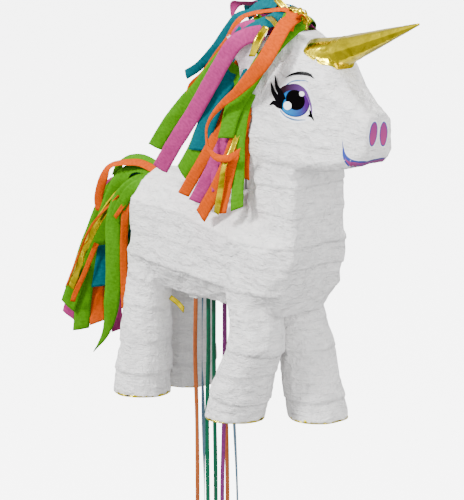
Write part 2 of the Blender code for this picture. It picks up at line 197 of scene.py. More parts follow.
def paper_material(name="white_paper", tones=("DCDBDC", "EEEDED", "F8F7F7"), with_shade_and_bleed=True):
    """White crepe paper, pasted on in bands with its fine crinkle running up and down. Its colour follows the
    wrapped and coarse bumps, darker in their hollows and lighter on their rises: painted shade and light.
    """
    made = Nodes(name, linear(tones[1]), 0.6)
    made.specular(0.35)
    crinkle = made.noise(made.coordinates((1.0, 1.0, 0.22)), 420, 4, 0.6, 0.4)
    wrapped = made.noise(made.coordinates((0.16, 0.16, 1.0)), 330, 4, 0.62, 0.7)
    coarse = made.noise(made.coordinates((0.6, 0.6, 1.0)), 105, 4, 0.62, 1.4)
    soft = made.noise(made.coordinates((0.8, 0.8, 1.0)), 50, 4, 0.6, 0.9)
    made.bump(soft, 0.007, 0.8)
    made.bump(coarse, 0.0034, 0.85)
    made.bump(wrapped, 0.0018, 0.9)
    made.bump(crinkle, 0.0008, 0.8)
    # Painted shade and light: the colour follows the wrapped and coarse bumps.
    mixed, more = made.half(wrapped)
    made.link(made.half(coarse)[0], more)
    made.colour(mixed, *zip(PAPER_STOPS, (linear(tone) for tone in tones)))
    # The skin's colour attribute multiplies the colour: painted shade in fold valleys, under lap edges and
    # below the flank's edge, and tints of dye bled from the crepe.
    if with_shade_and_bleed:
        base = made.shader.inputs["Base Color"]
        tint = made.add("ShaderNodeMix", data_type="RGBA", blend_type="MULTIPLY")
        tint.inputs["Factor"].default_value = 1.0
        made.link(base.links[0].from_socket, tint.inputs["A"])
        painted_shade_and_bleed = made.add("ShaderNodeAttribute", attribute_name="painted_shade_and_bleed")
        made.link(painted_shade_and_bleed.outputs["Color"], tint.inputs["B"])
        made.link(tint.outputs["Result"], base)
    return made.material


def card_material():
    """Brown card with fibres and blotches."""
    made = Nodes("brown_card", linear("A98357"), 0.9)
    fibre = made.noise(made.coordinates((1, 1, 5)), 220, 4, 0.7)
    blotch = made.noise(made.coordinates(), 40, 2)
    made.bump(fibre, 0.0003, 0.5)
    made.colour(blotch, (0.3, linear("9A7448")), (0.7, linear("B7925F")))
    return made.material


def crepe_material(name, code):
    """Thin crepe paper with fine ridges across the strip and light and dark streaks along it. The streaks
    follow the waves' bump: painted shade in their hollows and painted light on their crests.
    """
    base = shade(linear(code), DULL)
    made = Nodes(name, base, 0.7)
    ridges = made.noise(made.coordinates((1.0, 0.16, 1.0), "UV"), 60, 3, 0.6, 0.2)
    waves = made.noise(made.coordinates((1.0, 0.6, 1.0), "UV"), 7, 2)
    made.bump(ridges, 0.0004, 0.5)
    made.bump(waves, 0.0012, 0.35)
    # Painted shade and light on the waves: darker in their hollows, lighter on their crests.
    made.colour(waves, (0.25, shade(base, 0.72)), (0.6, base), (0.9, shade(base, 1.15)))
    made.specular(0.05)
    return made.material


def foil_material(name, code, hollow_shade_code, rough, crumple):
    """Metal foil with wide and fine creases, painted a deeper colour in the hollows of the wide creases as
    shade.
    """
    made = Nodes(name, linear(code), rough, 1.0)
    wide = made.noise(made.coordinates(), 45, 3, 0.6, 0.8)
    fine = made.noise(made.coordinates(), 260, 2, 0.5)
    made.bump(wide, 0.0025, crumple)
    made.bump(fine, 0.0004, 0.25)
    made.roughness(fine, rough * 0.7, rough * 1.4)
    # Painted shade: deeper colour where the wide creases sink.
    made.colour(wide, (0.3, linear(hollow_shade_code)), (0.6, linear(code)))
    return made.material


def print_material(name, code, rough, to_code=None, axis=None, middle=None, span=None):
    """Glossy printed sticker paper, in one ink or shading from one ink to another."""
    base = shade(linear(code), 1 if name == "sticker_white" else DULL)
    made = Nodes(name, base, rough)
    made.specular(0.02)
    grain = made.noise(made.coordinates(), 500, 2)
    made.bump(grain, 0.0001, 0.2)
    if to_code is None:
        made.colour(grain, (0.2, shade(base, 0.93)), (0.8, base))
        return made.material
    where = made.add("ShaderNodeTexCoord")
    offset = made.add("ShaderNodeVectorMath", operation="SUBTRACT")
    offset.inputs[1].default_value = at(middle[0], 0, middle[1])
    along = made.add("ShaderNodeVectorMath", operation="DOT_PRODUCT")
    along.inputs[1].default_value = axis
    made.link(where.outputs["Object"], offset.inputs[0])
    made.link(offset.outputs["Vector"], along.inputs[0])
    spread = made.add("ShaderNodeMapRange")
    spread.inputs["From Min"].default_value = -span / 2
    spread.inputs["From Max"].default_value = span / 2
    made.link(along.outputs["Value"], spread.inputs["Value"])
    made.colour(spread.outputs["Result"], (0.1, base), (0.9, shade(linear(to_code), DULL)))
    return made.material


def ribbon_material(name, code):
    """Curling ribbon: glossy, with fine ribs along its length."""
    base = shade(linear(code), DULL)
    made = Nodes(name, base, 0.32)
    made.specular(0.2)
    ribs = made.noise(made.coordinates((0.08, 1.0, 1.0), "UV"), 24, 2)
    wide = made.noise(made.coordinates((1.0, 0.3, 1.0), "UV"), 3, 2)
    made.bump(ribs, 0.0002, 0.35)
    made.colour(wide, (0.3, shade(base, 0.8)), (0.7, shade(base, 1.08)))
    made.roughness(ribs, 0.25, 0.42)
    return made.material


def wire_material():
    made = Nodes("bare_wire", linear("8E9094"), 0.3, 1.0)
    drawn = made.noise(made.coordinates((1, 1, 0.1)), 1500, 2)
    made.bump(drawn, 0.0001, 0.3)
    made.roughness(drawn, 0.22, 0.42)
    return made.material


def tape_material():
    made = Nodes("paper_tape", linear("DFE0DC"), 0.45)
    grain = made.noise(made.coordinates((1, 0.2, 1)), 700, 3)
    made.bump(grain, 0.0002, 0.4)
    made.colour(grain, (0.3, linear("D2D3CE")), (0.7, linear("E8E8E4")))
    return made.material


PAPER = paper_material()
CARD = card_material()
EAR_PAPER = paper_material("ear_paper", ("C4B4BE", "E2D3DA", "EBE0E5"), with_shade_and_bleed=False)
CREPES = {
    "green": crepe_material("green_crepe", "549E0E"),
    "orange": crepe_material("orange_crepe", "E65A00"),
    "pink": crepe_material("pink_crepe", "BE3F85"),
    "teal": crepe_material("teal_crepe", "006C78"),
    "gold": foil_material("gold_strip", "EED400", "A08C00", 0.22, 0.45),
}
HORN_FOIL = foil_material("gold_foil", "E0CC00", "B0A000", 0.2, 0.3)
RIBBONS = {
    "orange": ribbon_material("orange_ribbon", "BE6430"),
    "blue": ribbon_material("blue_ribbon", "6C8FA6"),
    "green": ribbon_material("green_ribbon", "0B6E4C"),
    "magenta": ribbon_material("magenta_ribbon", "8E3682"),
}
WIRE = wire_material()
TAPE = tape_material()

# ---------------------------------------------------------------- mesh helpers


def add_mesh(name, points, faces, *materials):
    mesh = bpy.data.meshes.new(name)
    mesh.from_pydata([tuple(p) for p in points], [], faces)
    mesh.update()
    for made in materials:
        mesh.materials.append(made)
    for face in mesh.polygons:
        face.use_smooth = True
    return link_object(name, mesh)


def object_from(name, bm):
    """A new object made from bm, which is then freed."""
    mesh = bpy.data.meshes.new(name)
    bm.to_mesh(mesh)
    bm.free()
    return link_object(name, mesh)


def apply_modifiers(obj):
    """Bakes the object's modifiers into its mesh."""
    graph = bpy.context.evaluated_depsgraph_get()
    mesh = bpy.data.meshes.new_from_object(obj.evaluated_get(graph))
    old = obj.data
    obj.modifiers.clear()
    obj.data = mesh
    bpy.data.meshes.remove(old)


def between(stations, x):
    """The row of a station table at this x, by straight lines between rows."""
    for low, high in zip(stations, stations[1:]):
        if x <= high[0]:
            share = (x - low[0]) / (high[0] - low[0])
            return [a + (b - a) * share for a, b in zip(low, high)]
    return list(stations[-1])


def catmull_rom(a, b, c, d, t):
    """The place at share t of the way from b to c."""
    return 0.5 * (2 * b + (c - a) * t + (2 * a - 5 * b + 4 * c - d) * t**2 + (3 * b - a - 3 * c + d) * t**3)


def spline(points, step):
    """Points a step apart along a Catmull-Rom curve, with any extra columns carried along, and its length."""
    rows = [np.array(p, float) for p in points]
    rows = [2 * rows[0] - rows[1]] + rows + [2 * rows[-1] - rows[-2]]
    dense = []
    for a, b, c, d in zip(rows, rows[1:], rows[2:], rows[3:]):
        for t in np.linspace(0, 1, 24, endpoint=False):
            dense.append(catmull_rom(a, b, c, d, t))
    dense.append(rows[-2])
    dense = np.array(dense)
    lengths = np.concatenate([[0], np.cumsum(np.linalg.norm(np.diff(dense[:, :3], axis=0), axis=1))])
    total = lengths[-1]
    places = np.linspace(0, total, max(2, int(round(total / step)) + 1))
    return np.stack([np.interp(places, lengths, column) for column in dense.T], 1), total


def unit(v):
    """v at length one, or as it is where it has no length."""
    size = np.linalg.norm(v)
    return v / size if size > 1e-9 else v


def strip(
    name, route, width, facing, finish, step=3.0, across=6, thick=0.35, cup=0.0, ripple=1.0, seed=0,
    end_cut=0.0, point=0.0,
):
    """A flat strip of paper, foil or ribbon along a route in millimetres.

    A route row is x, y, z and, if wanted, a twist in degrees and a share of the full width. facing is the
    way that the strip's face looks, or a function that gives it for a place. end_cut slants the far end, and
    point narrows the last part.
    """
    rows = [tuple(r) + (0, 1)[len(r) - 3 :] for r in route]
    path, length = spline(rows, step)
    count = len(path)
    tangents = np.gradient(path[:, :3], axis=0)
    front, back, uvs = [], [], []
    for k, row in enumerate(path):
        place, twist, share = row[:3], math.radians(row[3]), row[4]
        tangent = unit(tangents[k])
        look = np.array(facing(place) if callable(facing) else facing, float)
        side = unit(np.cross(tangent, look))
        face = np.cross(side, tangent)
        side, face = (
            side * math.cos(twist) + face * math.sin(twist),
            face * math.cos(twist) - side * math.sin(twist),
        )
        run = k / (count - 1)
        if point:
            share *= min(1, (1 - run) / point + 0.06)
        for j in range(across + 1):
            s = j / across - 0.5
            slant = end_cut * s * run**4 * width
            wave = ripple * noise.noise(Vector((seed * 7.3 + run * length / 22, s * 1.6, seed)))
            curl = cup * (1 - 4 * s * s) * width
            spot = place + side * (s * width * share) + face * (curl + wave) + tangent * slant
            front.append(at(*(spot + face * thick / 2)))
            back.append(at(*(spot - face * thick / 2)))
            uvs.append((run * length / 20, s * width * share / 20))
    faces, total, wide = [], len(front), across + 1
    for k in range(count - 1):
        for j in range(across):
            a = k * wide + j
            faces.append((a, a + 1, a + wide + 1, a + wide))
            faces.append((total + a, total + a + wide, total + a + wide + 1, total + a + 1))
        for a, b in ((k * wide, (k + 1) * wide), ((k + 1) * wide + across, k * wide + across)):
            faces.append((a, b, total + b, total + a))
    for base, turn in ((0, False), ((count - 1) * wide, True)):
        for j in range(across):
            a, b = base + j, base + j + 1
            faces.append((a, b, total + b, total + a)[:: 1 if turn else -1])
    obj = add_mesh(name, front + back, faces, finish)
    layer = obj.data.uv_layers.new(name="UVMap")
    for loop in obj.data.loops:
        layer.data[loop.index].uv = uvs[loop.vertex_index % total]
    return obj, path[:, :3], length


# ---------------------------------------------------------------- ribbons

RIBBON_WIDTH = 5.0
# Each ribbon's colour, its x and y at each of the heights below, and the height of its lower end.
RIBBON_ROUTES = {
    "release_ribbon": ("magenta", [(95, 10), (95, 10), (95, 9), (93, 8), (94, 8), (95, 8)], -360),
    "decoy_ribbon_1": ("orange", [(84, -26), (84, -27), (86, -26), (87, -26), (87, -27), (88, -27)], -375),
    "decoy_ribbon_2": ("blue", [(84, -15), (84, -16), (84, -14), (86, -14), (87, -15), (86, -15)], -352),
    "decoy_ribbon_3": ("green", [(84, -6), (84, -6), (83, -7), (82, -5), (83, -5), (82, -6)], -368),
    "decoy_ribbon_4": ("green", [(84, 3), (84, 3), (84, 4), (85, 5), (84, 5), (83, 5)], -345),
    "decoy_ribbon_5": ("orange", [(84, 20), (84, 21), (86, 21), (88, 21), (89, 21), (90, 21)], -372),
    "decoy_ribbon_6": ("blue", [(84, 29), (85, 30), (88, 31), (92, 33), (94, 33), (95, 34)], -356),
}
RIBBON_HEIGHTS = (129.5, 60, -20, -120, -240)
RIBBON_TWISTS = (0, 8, -12, 6, -8, 4)
RIBBON_FACING = (0.74, -0.67, 0)
# Further degrees of twist for the ribbons that hang nearly edge on.
EDGE_ON = {"decoy_ribbon_2": 66, "decoy_ribbon_6": 58}


def make_ribbons():
    """Seven flat curling ribbons that hang from the belly."""
    for index, (name, (finish, places, low)) in enumerate(RIBBON_ROUTES.items()):
        heights = RIBBON_HEIGHTS + (low,)
        route = [
            (x, y, z, EDGE_ON.get(name, 0) + twist * (1 + index % 3), 1)
            for (x, y), z, twist in zip(places, heights, RIBBON_TWISTS)
        ]
        obj, path, length = strip(
            f"{name}_look", route, RIBBON_WIDTH, RIBBON_FACING, RIBBONS[finish], step=6, across=4, thick=0.25,
            cup=0.05, ripple=0.0, seed=index, end_cut=0.6,
        )
        belongs(obj, name, f"ribbon_{finish}", name)
        tuple(at(*places[0], RIBBON_HEIGHTS[0]))
        [tuple(at(*p)) for p in path]


make_ribbons()

# ---------------------------------------------------------------- paper skin

# x, then the heights of the belly, the flank's lower edge, the crease, the eave and the ridge.
BODY_STATIONS = [
    (8, 134, 175, 237, 262, 271),
    (94, 134, 169, 236, 263, 273),
    (176, 134, 166, 223, 258, 272),
    (240, 134, 165, 218, 236, 262),
]
BELLY_HALF, SIDE_HALF, EAVE_HALF, RIDGE_HALF = 34, 62, 44, 16
RUMP = [(-12, -16, 142), (-12, -28, 178), (-12, -28, 238), (-12, -21, 258), (-12, -7, 265)]
BREAST = [(247, -36, 150), (258, -42, 168), (274, -42, 212), (274, -42, 232), (274, -16, 240)]
# x, then a height and a half width each for the jaw, the lower cheek, the upper cheek and the crown.
HEAD_STATIONS = [
    (189, 326, 32, 336, 38, 428, 36, 444, 26),
    (203, 318, 38, 328, 46, 440, 43, 468, 30),
    (250, 318, 38, 328, 47, 442, 38, 475, 21),
    (312, 325, 36, 334, 45, 425, 32, 456, 18),
    (332, 329, 32, 338, 39, 413, 27, 431, 12),
    (345, 333, 28, 342, 34.5, 406, 23, 420, 12),
    (362, 338, 22, 348, 28, 400, 21, 408, 12),
    (377, 348, 14, 356, 21, 390, 19, 400, 12),
]
NECK_BACK_X, NECK_FRONT_X, NECK_HALF = 189, 274, 42
# Each row of a leg is x, distance from the middle plane, height and radius.
HIND_LEG = [(11, 34, 182, 26), (11, 34, 150, 26), (6, 35, 75, 30), (0, 36, 0.8, 34)]
FRONT_LEG_RIGHT = [
    (195, 34, 182, 31), (195, 34, 148, 31), (204, 35, 111, 32), (201, 35.5, 92, 33), (180, 36, 48, 35),
    (165, 36, 0.8, 35.5),
]
FRONT_LEG_LEFT = [
    (191, 34, 182, 31), (191, 34, 141, 31), (202, 34.5, 113, 32), (213, 35, 81, 33), (220, 35.5, 45, 34),
    (232, 36, 0.8, 35.5),
]
DOOR_START, DOOR_HINGE_X, DOOR_HALF, BELLY_Z = 92, 154, 31.5, 134
FLAP_START, FLAP_END = 94, 176
VOXEL = 2.3
CARD_THICK = 3.0
SLIT = 0.5


def mirror(points):
    """The same points on the other side, in the order that closes a ring."""
    return [(p[0], -p[1], *p[2:]) for p in reversed(points)]


def flank_z(x):
    return between(BODY_STATIONS, x)[2]


def crease_z(x):
    return between(BODY_STATIONS, x)[3]


def flap_low(x):
    return flank_z(x) + 3


def flap_high(x):
    return crease_z(x) - 2


def body_ring(row):
    x, belly, flank, crease, eave, ridge = row
    right = [
        (x, -BELLY_HALF, belly), (x, -SIDE_HALF, flank), (x, -SIDE_HALF, crease), (x, -EAVE_HALF, eave),
        (x, -RIDGE_HALF, ridge),
    ]
    return right + mirror(right)


def head_ring(row):
    x, jaw, jaw_half, low, low_half, high, high_half, crown, crown_half = row
    right = [(x, -jaw_half, jaw), (x, -low_half, low), (x, -high_half, high), (x, -crown_half, crown)]
    return right + mirror(right)


def neck_ring(z):
    """A rectangle with its corners taken off."""
    cut = 5
    right = [
        (NECK_BACK_X, -NECK_HALF + cut, z), (NECK_BACK_X + cut, -NECK_HALF, z),
        (NECK_FRONT_X - cut, -NECK_HALF, z), (NECK_FRONT_X, -NECK_HALF + cut, z),
    ]
    return right + mirror(right)


def leg_rings(stations, side):
    rings = []
    for x, y, z, radius in stations:
        turns = [k * math.tau / 32 for k in range(32)]
        rings.append([(x + radius * math.cos(t), side * y + radius * math.sin(t), z) for t in turns])
    return rings


def loft(bm, rings):
    """A closed solid through matching rings, added to bm."""
    rows = [[bm.verts.new(at(*p)) for p in ring] for ring in rings]
    faces = [bm.faces.new(rows[0]), bm.faces.new(rows[-1])]
    for low, high in zip(rows, rows[1:]):
        for k in range(len(low)):
            n = (k + 1) % len(low)
            faces.append(bm.faces.new((low[k], low[n], high[n], high[k])))
    bmesh.ops.recalc_face_normals(bm, faces=faces)


# Where one band of pasted paper laps over the next: the x range and y range, then each lap's height, its rise
# along x and the depth of its step, which also sets how dark the painted shadow line under its edge is.
LAPS = [
    ((160, 290), (-80, 80), [(295, 0.04, 0.9)]),
    ((150, 290), (-80, 80), [(262, -0.03, 0.6)]),
    ((180, 290), (-80, 80), [(222, 0.05, 0.9)]),
    ((200, 290), (-80, 80), [(197, 0.0, 0.7)]),
    ((120, 260), (-80, 0), [(128, 0.06, 0.6), (91, -0.1, 1.1), (58, 0.08, 0.6), (26, -0.12, 1.0)]),
    ((150, 300), (0, 80), [(118, 0.05, 0.6), (84, 0.08, 0.9), (24, 0.05, 0.9)]),
    ((-60, 60), (-80, 80), [(112, -0.08, 0.6), (66, 0.1, 0.6), (29, 0.03, 1.0)]),
    ((175, 330), (-80, 80), [(352, 0.05, 0.7)]),
    ((175, 262), (-80, 80), [(384, -0.08, 0.5)]),
]
# Lengthwise laps on the sides of the trunk, by how far they lie from the crease line.
SIDE_LAPS = [(2.0, 1.1), (-13.0, 0.6), (-33.0, 0.6)]
SMOOTH_SPOTS = [((274, -40, 410), 50, 0.1), ((274, 40, 410), 50, 0.1), ((372, 0, 368), 40, 0.3)]
# Colour from the crepe strips that has bled into the wet paper: place, reach, red, green and blue kept.
BLEEDS = [
    ((150, -62, 238), 46, (1.0, 0.93, 0.95)),
    ((205, -44, 262), 40, (1.0, 0.955, 0.94)),
    ((110, -50, 262), 44, (1.0, 0.955, 0.965)),
    ((196, -42, 330), 34, (1.0, 0.97, 0.92)),
    ((-8, -40, 200), 60, (0.965, 1.0, 0.94)),
]
# A lap fades out this far above its edge, and reaches no further than this from it, or past the legs' tops.
LAP_FADE, LAP_REACH, LEG_TOP = 26.0, 60, 132


def lap_height(above, depth):
    """How much paper lies here, and how dark the painted shadow line just below the lap's edge is, for a
    height above the lap's edge.
    """
    raised = 2 * depth * (1 - above / LAP_FADE) if 0 < above < LAP_FADE else 0.0
    shadow_line = depth * max(0.0, 1 - abs(above + 0.9) / 2.2)
    return raised, shadow_line


def relief(place):
    """How far the paper stands off the card here, in millimetres, and how much painted shade it gets: in the
    valleys of its folds, in lines just under lap edges and on the panel below the flank's lower edge.
    """
    x, y, z = place
    spot = Vector(place)
    height = 1.3 * noise.noise(spot / 34) + 0.8 * noise.noise(spot / 13 + Vector((9, 3, 1)))
    folded = abs(noise.noise(Vector((x / 15, y / 15, z / 38)) + Vector((4, 4, 4)))) * 2
    crossed = abs(noise.noise(Vector((x / 26, y / 26, z / 11)) + Vector((1, 8, 3)))) * 2
    height += 1.2 * (0.5 - folded) + 0.7 * (0.5 - crossed)
    height += 0.45 * noise.noise(Vector((x / 4.5, y / 4.5, z / 26)))
    # Painted shade in the valleys of the folds.
    painted_shade = 0.5 * max(0, 0.14 - folded) / 0.14 + 0.35 * max(0, 0.1 - crossed) / 0.1
    # Torn paper and paste stand up roughly at the top of the hind legs.
    torn = max(0, 1 - (spot - Vector((18, -56 if y < 0 else 56, 152))).length / 36)
    height += torn * 3.2 * noise.noise(spot / 6) + torn * 1.5 * noise.noise(spot / 3.2)
    for (x_low, x_high), (y_low, y_high), rows in LAPS:
        if not (x_low < x < x_high and y_low < y < y_high):
            continue
        for level, rise, depth in rows:
            across_belly = z < LEG_TOP < level or level < LEG_TOP < z
            if across_belly or abs(z - level) > LAP_REACH:
                continue
            waver = 2.4 * noise.noise(Vector((x / 25, y / 25, level)))
            raised, shadow_line = lap_height(z - (level + rise * (x - (x_low + x_high) / 2) + waver), depth)
            height += raised
            # Painted shadow line just below the lap's edge.
            painted_shade += shadow_line
    if abs(y) > 38 and -14 < x < 190 and 150 < z < 262:
        for drop, depth in SIDE_LAPS:
            edge = crease_z(x) + drop + 1.5 * noise.noise(Vector((x / 22, drop, 5)))
            raised, shadow_line = lap_height(z - edge, depth)
            height += raised * 0.6
            # Painted shadow line just below the side lap's edge.
            painted_shade += shadow_line
    # The flank's lower edge stands out a little. Below it the paper is painted darker, as shade on the panel
    # that faces down, with a darker painted shadow line along the edge.
    if abs(y) > 44 and -14 < x < 262:
        below = flank_z(x) - z
        height += 1.3 * max(0, 1 - abs(below) / 4)
        if -2 < below < 40:
            painted_shade += 0.35 * (1 - max(0, below) / 42) + (0.6 if -1 < below < 3 else 0)
    for (cx, cy, cz), reach, keep in SMOOTH_SPOTS:
        gap = (spot - Vector((cx, cy, cz))).length / reach
        if gap < 1:
            height *= keep + (1 - keep) * gap**2
            painted_shade *= keep + (1 - keep) * gap**2
    return height, painted_shade


def shade_and_bleed_colour(place, painted_shade):
    """The colour that multiplies the paper's own: painted shade from the folds, lap edges and flank, and
    tints of dye bled from the crepe.
    """
    # Painted shade, darker by the relief's shade value.
    colour = np.ones(3) * (1 - 0.2 * min(painted_shade, 1.3))
    spot = Vector(place)
    for centre, reach, kept in BLEEDS:
        gap = (spot - Vector(centre)).length / reach
        if gap < 1:
            share = (1 - gap) * (0.7 + 0.6 * noise.noise(spot / 14))
            colour *= 1 - (1 - np.array(kept)) * max(0, share) * 1.2
    return (*colour * np.array((1.0, 0.995, 0.985)), 1.0)


def rough_solid():
    """Trunk, neck, head and legs, run together into one closed surface."""
    bm = bmesh.new()
    loft(bm, [RUMP + mirror(RUMP)] + [body_ring(row) for row in BODY_STATIONS] + [BREAST + mirror(BREAST)])
    loft(bm, [neck_ring(z) for z in (228, 332)])
    loft(bm, [head_ring(row) for row in HEAD_STATIONS])
    for stations, side in ((HIND_LEG, -1), (HIND_LEG, 1), (FRONT_LEG_RIGHT, -1), (FRONT_LEG_LEFT, 1)):
        loft(bm, leg_rings(stations, side))
    obj = object_from("paper_skin", bm)
    join = obj.modifiers.new("join", "REMESH")
    join.mode = "VOXEL"
    join.voxel_size = VOXEL * MM
    soften = obj.modifiers.new("soften", "SMOOTH")
    soften.factor = 0.5
    soften.iterations = 4
    apply_modifiers(obj)
    return obj


def lay_paper(obj):
    """Moves each point out or in by the paper's relief, and stores its painted shade and bled dye as a
    colour.
    """
    mesh = obj.data
    count = len(mesh.vertices)
    points = np.empty(count * 3)
    mesh.vertices.foreach_get("co", points)
    points = points.reshape(-1, 3)
    normals = np.array([v.normal for v in mesh.vertices])
    places = to_mm(points).tolist()
    reliefs = [relief(p) for p in places]
    points += normals * np.array([height for height, _ in reliefs])[:, None] * MM
    mesh.vertices.foreach_set("co", points.ravel())
    # Painted shade and bled dye, one colour for each point.
    painted_shade_and_bleed = mesh.color_attributes.new(name="painted_shade_and_bleed", type="FLOAT_COLOR", domain="POINT")
    colours = np.array([shade_and_bleed_colour(p, painted_shade) for p, (_, painted_shade) in zip(places, reliefs)])
    painted_shade_and_bleed.data.foreach_set("color", colours.ravel())
    mesh.update()


def cut_region(obj, name, planes, inside, gap):
    """Cuts the region that inside() picks out of the skin, and returns it as a sheet with a slit round it."""
    bm = bmesh.new()
    bm.from_mesh(obj.data)
    for point, normal in planes:
        near = [f for f in bm.faces if inside(to_mm(np.array(f.calc_center_median())), 12)]
        edges = list({e for f in near for e in f.edges})
        geometry = edges + list({v for f in near for v in f.verts}) + near
        bmesh.ops.bisect_plane(bm, geom=geometry, dist=1e-6, plane_co=at(*point), plane_no=normal)
    picked = {f for f in bm.faces if inside(to_mm(np.array(f.calc_center_median())), 0)}
    sheet = bm.copy()
    bm.faces.ensure_lookup_table()
    sheet.faces.ensure_lookup_table()
    chosen = {f.index for f in picked}
    for solid, in_hole in ((bm, True), (sheet, False)):
        drop = [f for f in solid.faces if (f.index in chosen) == in_hole]
        bmesh.ops.delete(solid, geom=drop, context="FACES")
    bm.to_mesh(obj.data)
    bm.free()
    piece = object_from(name, sheet)
    vertices = piece.data.vertices
    middle = sum((v.co for v in vertices), Vector()) / len(vertices)
    spans = [max(abs(v.co[k] - middle[k]) for v in vertices) for k in range(3)]
    for vertex in vertices:
        for k in range(3):
            if spans[k] > 0.01:
                vertex.co[k] = middle[k] + (vertex.co[k] - middle[k]) * (1 - gap * MM / spans[k])
    return piece


def make_card(obj):
    """Turns a papered sheet into card, white outside and brown inside and on its cut edges."""
    obj.data.materials.clear()
    obj.data.materials.append(PAPER)
    obj.data.materials.append(CARD)
    for face in obj.data.polygons:
        face.use_smooth = True
        face.material_index = 0
    shell = obj.modifiers.new("card", "SOLIDIFY")
    shell.thickness = CARD_THICK * MM
    shell.offset = -1
    shell.material_offset = 1
    shell.material_offset_rim = 1
    apply_modifiers(obj)


def in_door(place, grow):
    x, y, z = place
    in_length = DOOR_START - grow < x < DOOR_HINGE_X + grow
    return in_length and abs(y) < DOOR_HALF + grow and BELLY_Z - 12 < z < BELLY_Z + 8


def in_flap(place, grow):
    x, y, z = place
    in_length = FLAP_START - grow < x < FLAP_END + grow
    return in_length and y > 50 and flap_low(x) - grow < z < flap_high(x) + grow


def slope_plane(height):
    """A point of the plane that runs along a sloping edge of the flap, and its normal."""
    rise = height(FLAP_END) - height(FLAP_START)
    return (FLAP_START, 60, height(FLAP_START)), Vector((-rise, 0, FLAP_END - FLAP_START)).normalized()


skin = rough_solid()
lay_paper(skin)
SKIN_TREE = BVHTree.FromPolygons(
    [v.co.copy() for v in skin.data.vertices], [tuple(f.vertices) for f in skin.data.polygons]
)

ACROSS_X, ACROSS_Y = (1, 0, 0), (0, 1, 0)
door_planes = [((x, 0, BELLY_Z), ACROSS_X) for x in (DOOR_START, DOOR_HINGE_X)]
door_planes += [((DOOR_START, y, BELLY_Z), ACROSS_Y) for y in (-DOOR_HALF, DOOR_HALF)]
flap_planes = [((x, 60, 200), ACROSS_X) for x in (FLAP_START, FLAP_END)]
flap_planes += [slope_plane(flap_high), slope_plane(flap_low)]
door = cut_region(skin, "trap_door_card", door_planes, in_door, SLIT)
flap = cut_region(skin, "fill_flap_card", flap_planes, in_flap, SLIT)
for sheet in (skin, door, flap):
    make_card(sheet)

PANEL_FAMILIES = (
    "side_panel", "loin_panel", "flank_panel", "shoulder_panel", "belly_panel", "neck_", "cheek_", "leg_",
)
SINGLE_PANELS = (
    "back_panel", "rump_cap", "brisket_panel", "chest_panel", "back_of_head", "crown_panel", "jaw_panel",
    "muzzle_cap",
)
fixed_panels = [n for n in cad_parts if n.startswith(PANEL_FAMILIES) or n in SINGLE_PANELS]
belongs(skin, "body", "paper", *fixed_panels)
belongs(door, "trap_door", "paper", "belly_door")
belongs(flap, "fill_flap", "paper", "fill_flap")

# ---------------------------------------------------------------- horn and soles

HORN_BASE, HORN_TIP = Vector((283, 0, 452)), Vector((445, 0, 520.5))
HORN_RADIUS, HORN_TIP_RADIUS = 22.5, 1.4
HORN_FACETS = 7
# How far outside the horn's foot a ray towards the forehead starts.
RAY_START = 70


def foot_place(axis, outwards, around):
    """Where the horn's foil is spread out on the forehead, in millimetres."""
    reach = 21.5 + 3.0 * max(0, -outwards.y) + 4.5 * max(0, outwards.z) + 2.2 * noise.noise(around * 1.3)
    return skin_below(HORN_BASE + outwards * reach, axis)


def skin_below(spot, axis):
    """The place on the skin that lies on the line through spot along the horn's axis, or else spot itself."""
    hit, _, _, _ = SKIN_TREE.ray_cast(at(*(spot + axis * RAY_START)), -axis)
    if hit is None:
        return spot
    return Vector(to_mm(np.array(hit + axis * 0.9 * MM)))


def make_horn():
    """A cone of gold foil, folded flat in places and crumpled near its foot."""
    axis = (HORN_TIP - HORN_BASE).normalized()
    side = Vector((0, 1, 0))
    up = axis.cross(side) * -1
    length = (HORN_TIP - HORN_BASE).length
    sides, rings, foot_rings = 48, 60, 9
    points, faces = [], []
    for k in range(rings + 1):
        run = max(k, foot_rings) / rings
        centre = HORN_BASE + axis * length * run
        radius = HORN_RADIUS * (1 - run) + HORN_TIP_RADIUS * run
        for j in range(sides):
            turn = j * math.tau / sides
            # The foil lies in flat facets that meet at soft folds.
            facet = math.tau / HORN_FACETS
            local = (turn + 0.35 * run + 0.3) % facet - facet / 2
            flat = math.cos(facet / 2) / math.cos(local)
            reach = radius * (0.35 + 0.65 * flat)
            around = Vector((math.cos(turn) * 2, math.sin(turn) * 2, run * 9))
            foot = max(0, 1 - run / 0.42)
            reach += foot * 3.4 * (abs(noise.noise(around * 1.7)) - 0.25) + 0.35 * noise.noise(around * 3)
            reach += foot**2 * 2.4 * noise.noise(around * 3.1 + Vector((5, 2, 8)))
            outwards = side * math.cos(turn) + up * math.sin(turn)
            spot = centre + outwards * reach
            if k < foot_rings:
                low = foot_place(axis, outwards, around)
                share = k / foot_rings
                crumple = noise.noise(around * 2 + Vector((0, 0, k / 3)))
                spot = low.lerp(spot, share) + axis * 3 * crumple * share
            if run < 0.5:
                spot += axis * max(0, (skin_below(spot, axis) - spot).dot(axis))
            points.append(at(*spot))
    for k in range(rings):
        for j in range(sides):
            n = (j + 1) % sides
            faces.append((k * sides + j, k * sides + n, (k + 1) * sides + n, (k + 1) * sides + j))
    faces.append(tuple(reversed(range(sides))))
    faces.append(tuple(range(rings * sides, (rings + 1) * sides)))
    obj = add_mesh("foil_horn", points, faces, HORN_FOIL)
    bm = bmesh.new()
    bm.from_mesh(obj.data)
    bmesh.ops.recalc_face_normals(bm, faces=bm.faces[:])
    bm.to_mesh(obj.data)
    bm.free()
    belongs(obj, "body", "gold_foil", "horn")


